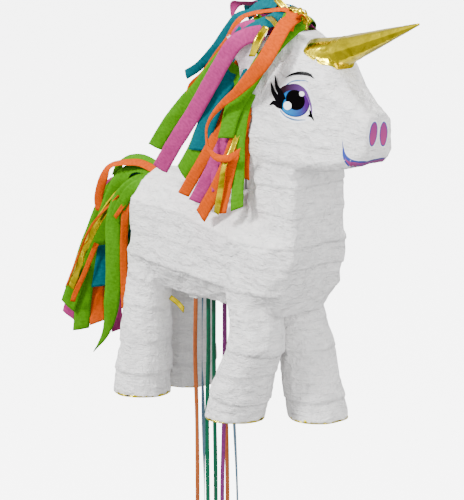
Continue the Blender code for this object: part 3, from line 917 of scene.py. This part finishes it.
def make_sole(name, x, y, radius, seed):
    """A foil disc under the foot, its rim crimped up round the paper."""
    sides = 96
    rows = [(0.0, 0.0), (0.6, 0.0), (0.975, 0.0), (1.0, 0.7), (1.0, 1.5), (0.98, 2.2)]
    points, faces = [at(x, y, 0.1)], []
    for share, height in rows[1:]:
        for j in range(sides):
            turn = j * math.tau / sides
            cos, sin = math.cos(turn), math.sin(turn)
            crimp = noise.noise(Vector((cos * 9, sin * 9, seed)))
            patch = noise.noise(Vector((cos * 1.6, sin * 1.6, seed * 5.1)))
            reach = radius * share + (0.4 * crimp + 2.6 * patch - 0.9 if share > 0.9 else 0)
            lift = height * (1 + 1.6 * crimp) if height > 0 else 0
            points.append(at(x + reach * cos, y + reach * sin, max(0, lift)))
    for j in range(sides):
        n = (j + 1) % sides
        faces.append((0, 1 + n, 1 + j))
        for k in range(len(rows) - 2):
            a = 1 + k * sides
            faces.append((a + j, a + n, a + sides + n, a + sides + j))
    obj = add_mesh(f"{name}_foil", points, faces, HORN_FOIL)
    shell = obj.modifiers.new("foil", "SOLIDIFY")
    shell.thickness = 0.3 * MM
    shell.offset = 0
    apply_modifiers(obj)
    belongs(obj, "body", "gold_foil", name)


make_horn()
for sole, (x, y, _, radius), side, seed in (
    ("sole_hind_right", HIND_LEG[-1], -1, 1), ("sole_hind_left", HIND_LEG[-1], 1, 2),
    ("sole_front_right", FRONT_LEG_RIGHT[-1], -1, 3), ("sole_front_left", FRONT_LEG_LEFT[-1], 1, 4),
):
    make_sole(sole, x, side * y, radius + 0.6, seed)

# ---------------------------------------------------------------- stickers

# The middle of the iris as drawn, then where it is pressed on, how much narrower, and how far down.
EYE = (278.6, 408.2)
EYE_MIDDLE, EYE_SPREAD, EYE_DROP = 270.4, 0.95, 4.0
# An ink's colour and roughness and, where it shades into a second colour, that colour, the direction, the
# middle in x and height, and the distance over which it does.
INK_TABLE = {
    "black": ("08060A", 0.3),
    "blue_line": ("4E86C2", 0.35),
    "lid": ("2A161E", 0.3, "7A4E9C", (1, 0, -0.1), (276, 414), 0.05),
    "iris": ("0078C4", 0.25, "552078", (0.9, 0, 0.45), (273, 404), 0.036),
    "iris_low": ("0A8AD0", 0.25, "4A3C94", (0.9, 0, 0.3), (273, 398), 0.034),
    "iris_rim": ("0B4C96", 0.25, "3D1C66", (0.9, 0, 0.4), (273, 404), 0.036),
    "pupil": ("050305", 0.3),
    "pink": ("C44E90", 0.35, "A84890", (0, 0, 1), (377, 378), 0.03),
    "mouth": ("4A5AB8", 0.35),
    "tongue": ("B84E8A", 0.35, "9C58A4", (1, 0, 0), (366, 344), 0.03),
}
INKS = {"white": print_material("sticker_white", "F4F5F8", 0.3)}
for ink, row in INK_TABLE.items():
    INKS[ink] = print_material(f"ink_{ink}", *row)


def smooth_loop(points, per=8):
    """A closed smooth outline through the points."""
    rows = [np.array(p, float) for p in points]
    count, out = len(rows), []
    for k in range(count):
        a, b, c, d = (rows[(k + j) % count] for j in (-1, 0, 1, 2))
        for t in np.linspace(0, 1, per, endpoint=False):
            out.append(catmull_rom(a, b, c, d, t))
    return out


def ellipse(cx, cy, rx, ry, tilt=0.0, count=40):
    lean = math.radians(tilt)
    cos, sin = math.cos(lean), math.sin(lean)
    turns = [k * math.tau / count for k in range(count)]
    flat = [(rx * math.cos(t), ry * math.sin(t)) for t in turns]
    return [(cx + a * cos - b * sin, cy + a * sin + b * cos) for a, b in flat]


def stroke(points, widths):
    """The outline of a brush stroke through the points, as wide as widths says from end to end."""
    path, _ = spline([(x, z, 0) for x, z in points], 1.0)
    runs = np.linspace(0, 1, len(path))
    wide = np.interp(runs, np.linspace(0, 1, len(widths)), widths)
    tangents = np.gradient(path[:, :2], axis=0)
    left, right = [], []
    for spot, tangent, width in zip(path, tangents, wide):
        side = unit(np.array([-tangent[1], tangent[0]])) * max(width, 0.05) / 2
        left.append(tuple(spot[:2] + side))
        right.append(tuple(spot[:2] - side))
    return left + right[::-1]


def from_side(side):
    """Looks at the head from one side: u is forward and v is up."""

    def look(u, v):
        return at(EYE_MIDDLE + (u - EYE[0]) * EYE_SPREAD, side * 120, v - EYE_DROP), Vector((0, -side, 0))

    return look


def from_front(u, v):
    """Looks at the muzzle from the front: u is to the animal's left and v is up."""
    return at(460, u, v), Vector((-1, 0, 0))


MUZZLE_AXIS_X, MUZZLE_REACH = 340.0, 35.0


def round_muzzle(u, v):
    """u runs round the muzzle from its middle, as the arc of a circle of MUZZLE_REACH, and v is up."""
    turn = u / MUZZLE_REACH
    out = Vector((math.cos(turn), math.sin(turn), 0))
    return at(MUZZLE_AXIS_X + 90 * out.x, 90 * out.y, v), -out


STICKER_GRAIN, STICKER_THICK = 3.0, 0.28


def sticker(name, outlines, view, lift, ink, *nodes):
    """Thin printed shapes pressed on to the paper."""
    bm = bmesh.new()
    for outline in outlines:
        face = bm.faces.new([bm.verts.new((u, v, 0)) for u, v in outline])
        bmesh.ops.triangulate(bm, faces=[face], ngon_method="EAR_CLIP")
    for _ in range(4):
        long_edges = [e for e in bm.edges if e.calc_length() > STICKER_GRAIN]
        if not long_edges:
            break
        bmesh.ops.subdivide_edges(bm, edges=long_edges, cuts=1)
        bmesh.ops.triangulate(bm, faces=bm.faces[:])
    for vertex in bm.verts:
        origin, direction = view(vertex.co.x, vertex.co.y)
        hit, normal, _, _ = SKIN_TREE.ray_cast(origin, direction)
        if hit is None:
            hit, normal, _, _ = SKIN_TREE.find_nearest(origin + direction * 0.08)
        vertex.co = hit - direction * lift * MM
    facing = view(*outlines[0][0])[1]
    for face in bm.faces:
        face.normal_update()
        if face.normal.dot(facing) > 0:
            face.normal_flip()
    made = bmesh.ops.extrude_face_region(bm, geom=bm.faces[:])
    lower = {v for v in made["geom"] if isinstance(v, bmesh.types.BMVert)}
    for vertex in bm.verts:
        if vertex not in lower:
            vertex.co += facing * STICKER_THICK * MM
    bmesh.ops.recalc_face_normals(bm, faces=bm.faces[:])
    obj = object_from(name, bm)
    obj.data.materials.append(INKS[ink])
    belongs(obj, "body", "sticker", *nodes)


def layers(name, node, view, outline, kinds):
    """Printed shapes one on another, each an ink and a growth; the lowest stands for the CAD node."""
    for layer, (part, ink, grow) in enumerate(kinds):
        nodes = () if layer else (node,)
        sticker(f"{name}_{part}", [outline(grow)], view, 0.16 + 0.13 * layer, ink, *nodes)


EX, EZ = EYE
# Each printed shape of the eye, from the lowest to the highest: its name, its ink and its outlines.
EYE_SHAPES = [
    ("white", "white", [smooth_loop([
        (250, 412), (260, 424), (282, 431), (301, 425), (309, 408), (314, 394), (300, 386), (280, 382),
        (262, 386), (253, 398),
    ])]),
    ("lid_line", "blue_line", [
        stroke([(259.5, 420.5), (275, 430.4), (293, 434.2), (300, 433.6)], (0.8, 1.6, 0.6)),
    ]),
    ("low_line", "blue_line", [
        stroke([(258, 393.5), (268, 388.0), (282, 385.8), (300, 388.4)], (1.2, 1.9, 0.8)),
    ]),
    ("iris_rim", "iris_rim", [ellipse(EX, EZ - 0.4, 26.2, 18.8)]),
    ("iris", "iris", [ellipse(EX, EZ - 0.4, 24.8, 17.6)]),
    ("iris_low", "iris_low", [ellipse(EX - 1.0, EZ - 7.6, 17.0, 8.4, 8)]),
    ("pupil", "pupil", [ellipse(EX + 3.4, EZ + 1.2, 15.4, 11.8)]),
    ("lid", "lid", [smooth_loop([
        (252.0, 401), (252.4, 412), (258, 420.5), (269, 426.2), (284, 428.6), (297, 424.4), (305, 414.5),
        (309.4, 404), (310.4, 397.0), (305.8, 406.4), (299.6, 415.5), (290, 421.0), (278, 420.8),
        (266, 416.8), (257, 408),
    ], 6)]),
    ("lashes", "black", [
        stroke([(262, 406), (257, 414), (250.5, 420.5), (246.0, 433.5)], (10.0, 8.6, 5.6, 0.4)),
        stroke([(262, 403), (253, 406.5), (244.5, 413.0), (239.8, 425.0)], (10.0, 9.0, 6.0, 0.4)),
        stroke([(262, 400), (254, 399.5), (246, 400.8), (238.5, 396.4)], (9.0, 7.5, 4.8, 0.4)),
    ]),
    ("corner", "black", [[
        (305.8, 402.0), (309.6, 399.6), (311.2, 395.8), (316.0, 389.6), (309.4, 393.2), (302.4, 393.2),
        (306.8, 396.4),
    ]]),
    ("lights", "white", [ellipse(270.4, 401.0, 6.6, 4.9, 10), ellipse(292.2, 418.4, 4.3, 2.9)]),
    ("brow", "black", [
        stroke([(264.5, 433.6), (276, 439.6), (289, 442.4), (300, 441.8), (308.0, 438.8)],
               (0.4, 2.4, 3.8, 3.6, 0.5)),
    ]),
]


def make_eye(word, side):
    """Sclera, iris, pupil, lights, lids, lashes and brow, each a shape of its own."""
    for layer, (part, ink, outlines) in enumerate(EYE_SHAPES):
        nodes = () if layer else (f"eye_sticker_{word}",)
        sticker(f"eye_{word}_{part}", outlines, from_side(side), 0.3 + 0.11 * layer, ink, *nodes)


def make_nostril(word, side):
    """A leaning pink oval in a thin rim."""

    def outline(grow):
        return ellipse(side * 8.2 - 1.8, 377.0 - 1.3 * side, 5.7 + grow, 14.2 + grow, 3 * side - 5)

    kinds = (("border", "white", 2.0), ("rim", "mouth", 0.7), ("pink", "pink", -0.6))
    layers(f"nostril_{word}", f"nostril_sticker_{word}", from_front, outline, kinds)


# Degrees round the muzzle, then the heights of the lips' upper and lower edges.
MOUTH_RIGHT = [
    (-79, 368.0, 366.5),
    (-75, 359.5, 350.5),
    (-67, 351.0, 339.0),
    (-52, 346.4, 332.4),
    (-34, 345.4, 332.6),
    (-16, 346.0, 336.4),
    (0, 346.6, 338.6),
]


def make_mouth():
    """A smile that starts high on one side of the muzzle and runs round under the nostrils to the other."""
    rows = MOUTH_RIGHT + [(-a, top, low) for a, top, low in reversed(MOUTH_RIGHT[:-1])]
    arcs = [(math.radians(a) * MUZZLE_REACH, top, low) for a, top, low in rows]
    dense, _ = spline(arcs, 1.5)

    def outline(grow):
        tops, lows = [], []
        for u, top, low in dense:
            # The pink, which lies inside the rim, stops short of the corners, where the outer band is wide.
            inside = grow - (max(0, abs(u) / MUZZLE_REACH - 0.85) * 10 if grow < 0 else 0)
            if top - low + 2 * inside > 0.3:
                tops.append((u, top + inside))
                lows.append((u, low - inside))
        return tops + lows[::-1]

    kinds = (("border", "white", 2.2), ("rim", "mouth", 0.8), ("pink", "tongue", -1.5))
    layers("mouth", "mouth_sticker", round_muzzle, outline, kinds)


SIDES = (("right", -1), ("left", 1))
for word, side in SIDES:
    make_eye(word, side)
    make_nostril(word, side)
make_mouth()

# ---------------------------------------------------------------- ears

# x, height and share of the full width along the ear's middle line.
EAR_LINE = [(191, 417, 0.2), (200, 440, 1.0), (194, 456, 0.9), (170, 467, 0.1)]


def make_ear(word, side):
    """A cupped petal of folded paper that lies back along the mane."""
    route = [(x, side * (48 + 5 * k / 3), z, 0, share) for k, (x, z, share) in enumerate(EAR_LINE)]
    obj, _, _ = strip(
        f"ear_{word}_petal", route, 29, (0.3, side, 0.25), EAR_PAPER, across=12, thick=0.9, cup=-0.14,
        ripple=0.8, seed=11,
    )
    belongs(obj, "body", "paper", f"ear_{word}")


for word, side in SIDES:
    make_ear(word, side)

# ---------------------------------------------------------------- mane and tail


def share_between(value, low, high):
    """How far value is on its way from low to high, from 0 to 1."""
    return min(max((value - low) / (high - low), 0), 1)


def from_neck(place):
    """Outwards from the side of the neck, turning upwards over the crown."""
    side = -1 if place[1] < 0 else 1
    up = share_between(place[2], 455, 490)
    return np.array([0.4, side * (1 - 0.45 * up), 0.2 + 0.8 * up])


def from_back(place):
    """Backwards from the nape, turning upwards over the crown."""
    up = share_between(place[2], 455, 490)
    return np.array([-1 + up, -0.35, 0.2 + 0.8 * up])


# Each strip is its name, colour, width, and route in x, y, z with a twist and share of width where wanted.
MANE = [
    ("orange_front", "orange", 20, [
        (245, -14, 496), (249, -36, 488), (246, -61, 454), (223, -65, 427, 0, 0.86), (202, -67, 407, 0, 0.6),
        (179, -70, 388, 0, 0.4), (165, -73, 372, 15, 0.24), (157, -74, 357, 25, 0.16),
        (158, -75, 343, 25, 0.16), (162, -75, 332, 10, 0.24), (175, -74, 324, 0, 0.42),
        (193, -71, 326, 0, 0.45), (207, -66, 336, 0, 0.3),
    ]),
    ("green_edge", "green", 20, [
        (255, -6, 487, 0, 0.7), (252, -20, 484, 0, 0.8), (243, -42, 467), (225, -49, 443), (208, -52, 417),
        (192, -55, 393), (184, -59, 373), (177, -62, 346),
    ]),
    ("green_hang", "green", 16, [
        (204, -47, 404), (196, -51, 382), (192, -54, 346), (194, -57, 316), (199, -64, 264),
    ]),
    ("under_red", "orange", 9, [(192, -44, 376), (196, -46, 340), (197, -48, 316), (199, -50, 298)]),
    ("pink_big", "pink", 21, [
        (214, -34, 476), (197, -48, 470), (184, -58, 457), (161, -66, 418), (131, -70, 371), (104, -72, 335),
        (65, -66, 289),
    ]),
    ("green_left", "green", 19, [
        (186, -12, 482), (168, -34, 458), (138, -46, 420), (118, -50, 395), (92, -52, 370), (66, -54, 340),
        (44, -55, 310),
    ]),
    ("teal_fling", "teal", 11, [
        (224, -2, 500), (183, -6, 492), (149, -14, 482), (137, -22, 465), (119, -28, 438), (98, -32, 415, 25),
        (78, -36, 401, 10),
    ]),
    ("peach_thin", "orange", 7, [
        (245, -6, 495), (226, -10, 501), (195, -14, 495), (168, -22, 486), (160, -30, 476), (153, -38, 457),
        (136, -44, 432), (121, -48, 411), (102, -50, 393, 40), (99, -50, 372, 10),
    ]),
    ("teal_crown", "teal", 15, [
        (224, -8, 500), (212, -20, 490), (201, -32, 482), (188, -40, 470), (179, -44, 449),
    ]),
    ("teal_nape", "teal", 16, [(224, -18, 490), (206, -30, 484), (184, -36, 476), (174, -40, 462)]),
    ("pink_crown", "pink", 14, [(206, -30, 480), (189, -34, 481), (176, -38, 473), (165, -40, 456)]),
    ("teal_mid", "teal", 23, [
        (178, -40, 439), (170, -52, 415), (161, -58, 394), (147, -62, 363), (133, -67, 324),
    ]),
    ("green_low", "green", 22, [(180, -46, 432), (150, -58, 376), (129, -65, 325), (105, -66, 290)]),
    ("orange_low_a", "orange", 15, [(185, -46, 398), (165, -53, 360), (143, -66, 315), (109, -68, 266)]),
    ("pink_low", "pink", 17, [(189, -46, 390), (172, -54, 349), (156, -67, 302), (132, -70, 262)]),
    ("orange_low_b", "orange", 17, [(196, -46, 388), (187, -54, 346), (174, -67, 296), (144, -72, 247)]),
    ("pink_narrow", "pink", 11, [(183, -46, 388), (170, -54, 345), (161, -64, 313), (168, -69, 282)]),
    ("orange_low_c", "orange", 12, [(197, -46, 376), (191, -54, 340), (187, -63, 310), (179, -70, 256)]),
    ("foil_low", "gold", 7, [
        (192, -47, 374), (188, -58, 342), (184, -70, 316, -12), (180, -73, 286, 14), (175, -75, 256, -6),
    ]),
    ("foil_ear", "gold", 9, [(226, -42, 486), (225, -54, 471, 12), (221, -60, 452, -14)]),
    ("foil_crown", "gold", 8, [(207, -22, 492), (229, -32, 491, 14), (248, -38, 484, -10)]),
]
CROWN = [
    ("crown_green", "green", 14, [(244, -8, 482), (244, -12, 493), (240, -14, 498), (228, -18, 494)]),
    ("crown_orange", "orange", 14, [(241, -14, 502), (246, -22, 494), (250, -30, 483)]),
    ("crown_teal", "teal", 16, [
        (236, 16, 486), (218, 10, 500), (198, -2, 503), (178, -8, 498), (164, -16, 484),
    ]),
    ("crown_gold", "gold", 11, [
        (258, -4, 489, 20), (250, -8, 500, 70), (240, -10, 505, -30), (230, -8, 500, 40),
    ]),
    ("crown_gold_up", "gold", 8, [(226, -6, 496), (216, -6, 503, 30), (204, -7, 511, 50)]),
    ("crown_loop_a", "gold", 5, [
        (250, -14, 494, 70), (262, -18, 503, 80), (271, -18, 498, 90), (268, -16, 486, 90),
    ]),
    ("crown_loop_b", "gold", 4, [
        (246, -12, 496, 20), (258, -12, 507, 40), (266, -14, 502, 60), (262, -14, 490, 60),
    ]),
    ("crown_pink", "pink", 14, [
        (240, 24, 474), (224, 28, 478), (204, 30, 474), (186, 32, 464), (174, 34, 448),
    ]),
    ("crown_far_green", "green", 16, [(236, 8, 486), (228, 22, 488), (222, 34, 482), (206, 46, 460)]),
]
BACK = [
    ("back_teal", "teal", 20, [(196, 8, 490), (172, 6, 474), (158, 2, 430), (150, 0, 372), (140, -6, 318)]),
    ("back_orange", "orange", 20, [
        (196, 24, 486), (174, 28, 462), (162, 30, 410), (156, 32, 350), (146, 34, 300),
    ]),
    ("back_green", "green", 20, [
        (196, -14, 488), (176, -22, 462), (166, -26, 408), (160, -28, 346), (150, -30, 296),
    ]),
    ("back_pink", "pink", 20, [
        (200, 18, 494), (178, 16, 480), (166, 14, 440), (160, 16, 384), (164, 18, 330),
    ]),
    ("back_teal_low", "teal", 18, [(184, -20, 420), (176, -38, 372), (172, -46, 330), (168, -50, 292)]),
    ("back_pink_low", "pink", 18, [(184, 24, 420), (176, 40, 372), (172, 46, 330), (166, 52, 290)]),
    ("under_teal", "teal", 18, [(204, -40, 440), (190, -50, 396), (186, -50, 350), (180, -50, 306)]),
    ("under_green", "green", 18, [(206, -38, 452), (186, -48, 410), (172, -54, 360), (164, -56, 310)]),
    ("under_orange", "orange", 18, [(198, -34, 460), (176, -46, 420), (158, -54, 372), (148, -58, 326)]),
]
FAR_COLOURS = {"green": "orange", "orange": "teal", "pink": "green", "teal": "pink", "gold": "gold"}


# The strips that stand for the CAD nodes of the mane, forelock and tail.
STANDS_FOR = {
    "mane_orange_front": "mane_right",
    "far_orange_front": "mane_left",
    "mane_crown_green": "forelock",
    "mane_back_teal": "mane_crest",
    "tail_green_b": "tail",
}


def hang(name, finish, width, route, seed, facing, **more):
    """One crepe or foil strip, fixed at its first point. Wide strips are a little hollow across."""
    wide = width > 10
    obj, _, _ = strip(
        name, route, width, facing, CREPES[finish], across=6 if wide else 4, cup=0.05 if wide else 0.0,
        ripple=1.3, seed=seed, **more,
    )
    nodes = (STANDS_FOR[name],) if name in STANDS_FOR else ()
    belongs(obj, "body", "gold_foil" if finish == "gold" else f"crepe_{finish}", *nodes)


def far_route(route, index):
    """The same strip on the other side, moved a little so that the two sides differ."""
    moved = []
    for k, row in enumerate(route):
        x, y, z = row[:3]
        drift = 5 * noise.noise(Vector((index * 3.7, k * 0.9, 2)))
        high = share_between(z, 430, 470)
        place = (x + drift - 38 * high, -y * (0.97 - 0.25 * high), z + drift * 1.5)
        moved.append(place + tuple(-twist for twist in row[3:4]) + row[4:])
    return moved


def make_mane():
    """The strips down both sides of the neck, over the crown and down the back of the neck."""
    for index, (name, finish, width, route) in enumerate(MANE):
        cut = 0.4 if index % 3 else -0.3
        hang(f"mane_{name}", finish, width, route, index, from_neck, end_cut=cut)
        far = far_route(route, index)
        hang(f"far_{name}", FAR_COLOURS[finish], width, far, index + 40, from_neck, end_cut=-cut)
    for index, (name, finish, width, route) in enumerate(CROWN + BACK):
        facing = from_back if name.startswith("back") else from_neck
        hang(f"mane_{name}", finish, width, route, index + 80, facing)


TAIL = [
    ("orange_arch", "orange", 11, [
        (-16, 0, 262), (-39, -4, 267), (-54, -8, 266), (-80, -12, 259), (-92, -14, 244), (-102, -15, 216),
        (-101, -13, 198),
    ]),
    ("green_a", "green", 20, [
        (-14, 0, 258, 0, 0.6), (-50, 0, 258, 0, 0.7), (-69, -4, 246), (-84, -8, 219), (-105, -12, 164),
        (-125, -15, 109), (-134, -15, 47),
    ]),
    ("green_b", "green", 20, [
        (-12, -4, 258, 0, 0.6), (-40, -10, 246, 0, 0.7), (-59, -17, 222), (-67, -22, 192), (-65, -24, 156),
        (-67, -24, 104, -6), (-80, -22, 58, -14), (-107, -17, 27, -30),
    ]),
    ("green_top", "green", 14, [(-10, 4, 262), (-44, 4, 270), (-67, 2, 267), (-79, 0, 258), (-83, -2, 244)]),
    ("green_under", "green", 14, [(-10, -10, 250), (-36, -16, 240), (-52, -20, 220), (-64, -22, 196)]),
    ("orange_b", "orange", 9, [
        (-12, -6, 254), (-42, -13, 236), (-50, -17, 211), (-52, -19, 174, 20), (-51, -20, 130),
        (-50, -20, 90, -15),
    ]),
    ("orange_c", "orange", 5, [(-12, -8, 250), (-34, -14, 240), (-48, -18, 222), (-60, -26, 200)]),
    ("teal", "teal", 18, [(-20, 6, 256), (-70, 2, 232), (-92, -3, 182), (-100, -8, 144), (-107, -10, 104)]),
    ("foil", "gold", 9, [
        (-30, 0, 252), (-70, -10, 226), (-95, -26, 183, 25), (-106, -27, 164, -25), (-116, -28, 147, 30),
        (-125, -29, 124, -30), (-134, -30, 100, 10),
    ]),
    ("strand", "orange", 2.5, [(-60, -20, 226), (-95, -31, 186), (-120, -32, 142), (-143, -31, 100)]),
    ("green_c", "green", 20, [
        (-16, 6, 257), (-88, 0, 228), (-117, -12, 165), (-128, -22, 121), (-143, -28, 76),
    ]),
    ("orange_left", "orange", 6, [(-100, -20, 160), (-116, -26, 120, 20), (-126, -31, 96), (-132, -30, 84)]),
    ("pink_a", "pink", 18, [
        (-16, 8, 256), (-90, 6, 228), (-122, -4, 165), (-135, -14, 119), (-148, -22, 62),
    ]),
    ("orange_low", "orange", 20, [
        (-16, 0, 254), (-80, 0, 215), (-113, 0, 152), (-119, -3, 102), (-115, -5, 57),
    ]),
    ("pink_b", "pink", 14, [(-14, -4, 256), (-58, -4, 238), (-96, 2, 231), (-110, 8, 204)]),
    ("pink_c", "pink", 14, [
        (-12, -8, 252), (-54, -10, 222), (-76, -11, 190), (-79, -11, 142), (-74, -10, 56),
    ]),
    ("teal_far", "teal", 18, [
        (-14, 14, 254), (-60, 24, 240), (-96, 28, 186), (-118, 26, 130), (-130, 24, 76),
    ]),
    ("orange_far", "orange", 18, [
        (-14, 10, 256), (-52, 22, 238), (-74, 28, 186), (-84, 28, 120), (-92, 24, 58),
    ]),
    ("green_far", "green", 20, [
        (-14, 12, 250), (-56, 30, 222), (-84, 34, 160), (-100, 32, 98), (-106, 30, 44),
    ]),
    ("foil_far", "gold", 8, [
        (-20, 12, 258), (-70, 32, 232, 20), (-96, 37, 176, -20), (-110, 36, 120, 20), (-120, 34, 84),
    ]),
    ("core_green", "green", 20, [(-10, 2, 252), (-60, 6, 226), (-88, 6, 170), (-98, 6, 110), (-100, 4, 62)]),
]


def from_tail(place):
    """Outwards from the middle of the tail, and a little up where it arches."""
    x, y, z = place
    side = -1 if y < 9 else 1
    up = share_between(z, 232, 262)
    return np.array([0.55 * -side * (1 - up) + 0.1 * up, side * (0.85 - 0.35 * up), 0.9 * up])


def make_tail():
    """The strips of the tail, two of which run out to a point."""
    for index, (name, finish, width, route) in enumerate(TAIL):
        cut = 0.35 if index % 2 else -0.4
        point = 0.3 if name in ("green_b", "green_far") else 0.0
        hang(f"tail_{name}", finish, width, route, index + 120, from_tail, end_cut=cut, point=point)


make_mane()
make_tail()
# A loose scrap of foil between the hind legs.
SCRAP = [(36, -24, 120), (45, -20, 114), (53, -17, 106)]
hang("foil_scrap", "gold", 6, SCRAP, 200, (0.5, -0.8, 0.3), end_cut=0.8)

# ---------------------------------------------------------------- small CAD parts that stay

KEPT = {"hanging_loop": WIRE, "loop_washer": CARD, "anchor_tape": TAPE, "release_tab": TAPE}
for node, finish in KEPT.items():
    mesh_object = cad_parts[node]
    if not mesh_object.material_slots:
        mesh_object.data.materials.append(finish)
    for slot in mesh_object.material_slots:
        slot.material = finish

# ---------------------------------------------------------------- floor, lights and sky

FLOOR_Z = at(0, 0, -377).z
FLOOR_RADIUS, FLOOR_GLOW = 70, 5.0


def make_stage():
    """A wide pale floor below the ribbons."""
    sides, rings = 64, 10
    points, faces = [Vector((0, 0, FLOOR_Z))], []
    for ring in range(1, rings + 1):
        reach = FLOOR_RADIUS * (ring / rings) ** 2
        for k in range(sides):
            turn = k * math.tau / sides
            points.append(Vector((reach * math.cos(turn), reach * math.sin(turn), FLOOR_Z)))
    for k in range(sides):
        n = (k + 1) % sides
        faces.append((0, 1 + k, 1 + n))
        for ring in range(rings - 1):
            a = 1 + ring * sides
            faces.append((a + k, a + sides + k, a + sides + n, a + n))
    made = Nodes("studio_white", linear("FBFBFB"), 0.9)
    mottle = made.noise(made.coordinates(), 2, 1)
    made.colour(mottle, (0.3, linear("FAFAFA")), (0.7, linear("FCFCFC")))
    made.shader.inputs["Emission Color"].default_value = (1, 1, 1, 1)
    made.shader.inputs["Emission Strength"].default_value = FLOOR_GLOW
    obj = add_mesh("studio_floor", points, faces, made.material)
    obj.visible_diffuse = False
    obj.visible_glossy = False


# Each light's name, place, width in metres and power in watts. All of them face the origin.
LIGHTS = (
    ("key", (-0.9, -2.6, 1.9), 0.7, 215),
    ("fill", (3.0, -0.8, 0.9), 2.2, 95),
    ("top", (0.2, 0.3, 3.0), 1.2, 105),
)
# The sky from straight down to straight up: share of the way, then brightness.
SKY = ((0.0, 0.42), (0.34, 0.5), (0.46, 1.0), (0.60, 0.8), (0.88, 0.36))
SKY_STRENGTH = 1.4


def add_light(name, place, size, power):
    """A round soft light."""
    data = bpy.data.lights.new(name, "AREA")
    data.shape = "DISK"
    data.size = size
    data.energy = power
    lamp = link_object(name, data)
    lamp.location = place
    lamp.rotation_euler = Vector(place).to_track_quat("Z", "Y").to_euler()


def make_sky():
    """Soft light from all round, brightest at the horizon."""
    world = bpy.data.worlds.new("studio")
    world.use_nodes = True
    nodes, links = world.node_tree.nodes, world.node_tree.links
    where = nodes.new("ShaderNodeTexCoord")
    split = nodes.new("ShaderNodeSeparateXYZ")
    height = nodes.new("ShaderNodeMapRange")
    height.inputs["From Min"].default_value = -1
    ramp = nodes.new("ShaderNodeValToRGB")
    elements = ramp.color_ramp.elements
    while len(elements) < len(SKY):
        elements.new(0.5)
    for element, (place, bright) in zip(elements, SKY):
        element.position = place
        element.color = (bright, bright, bright * 1.01, 1)
    links.new(where.outputs["Generated"], split.inputs["Vector"])
    links.new(split.outputs["Z"], height.inputs["Value"])
    links.new(height.outputs["Result"], ramp.inputs["Fac"])
    links.new(ramp.outputs["Color"], nodes["Background"].inputs["Color"])
    nodes["Background"].inputs["Strength"].default_value = SKY_STRENGTH
    bpy.context.scene.world = world


make_stage()
for light in LIGHTS:
    add_light(*light)
make_sky()
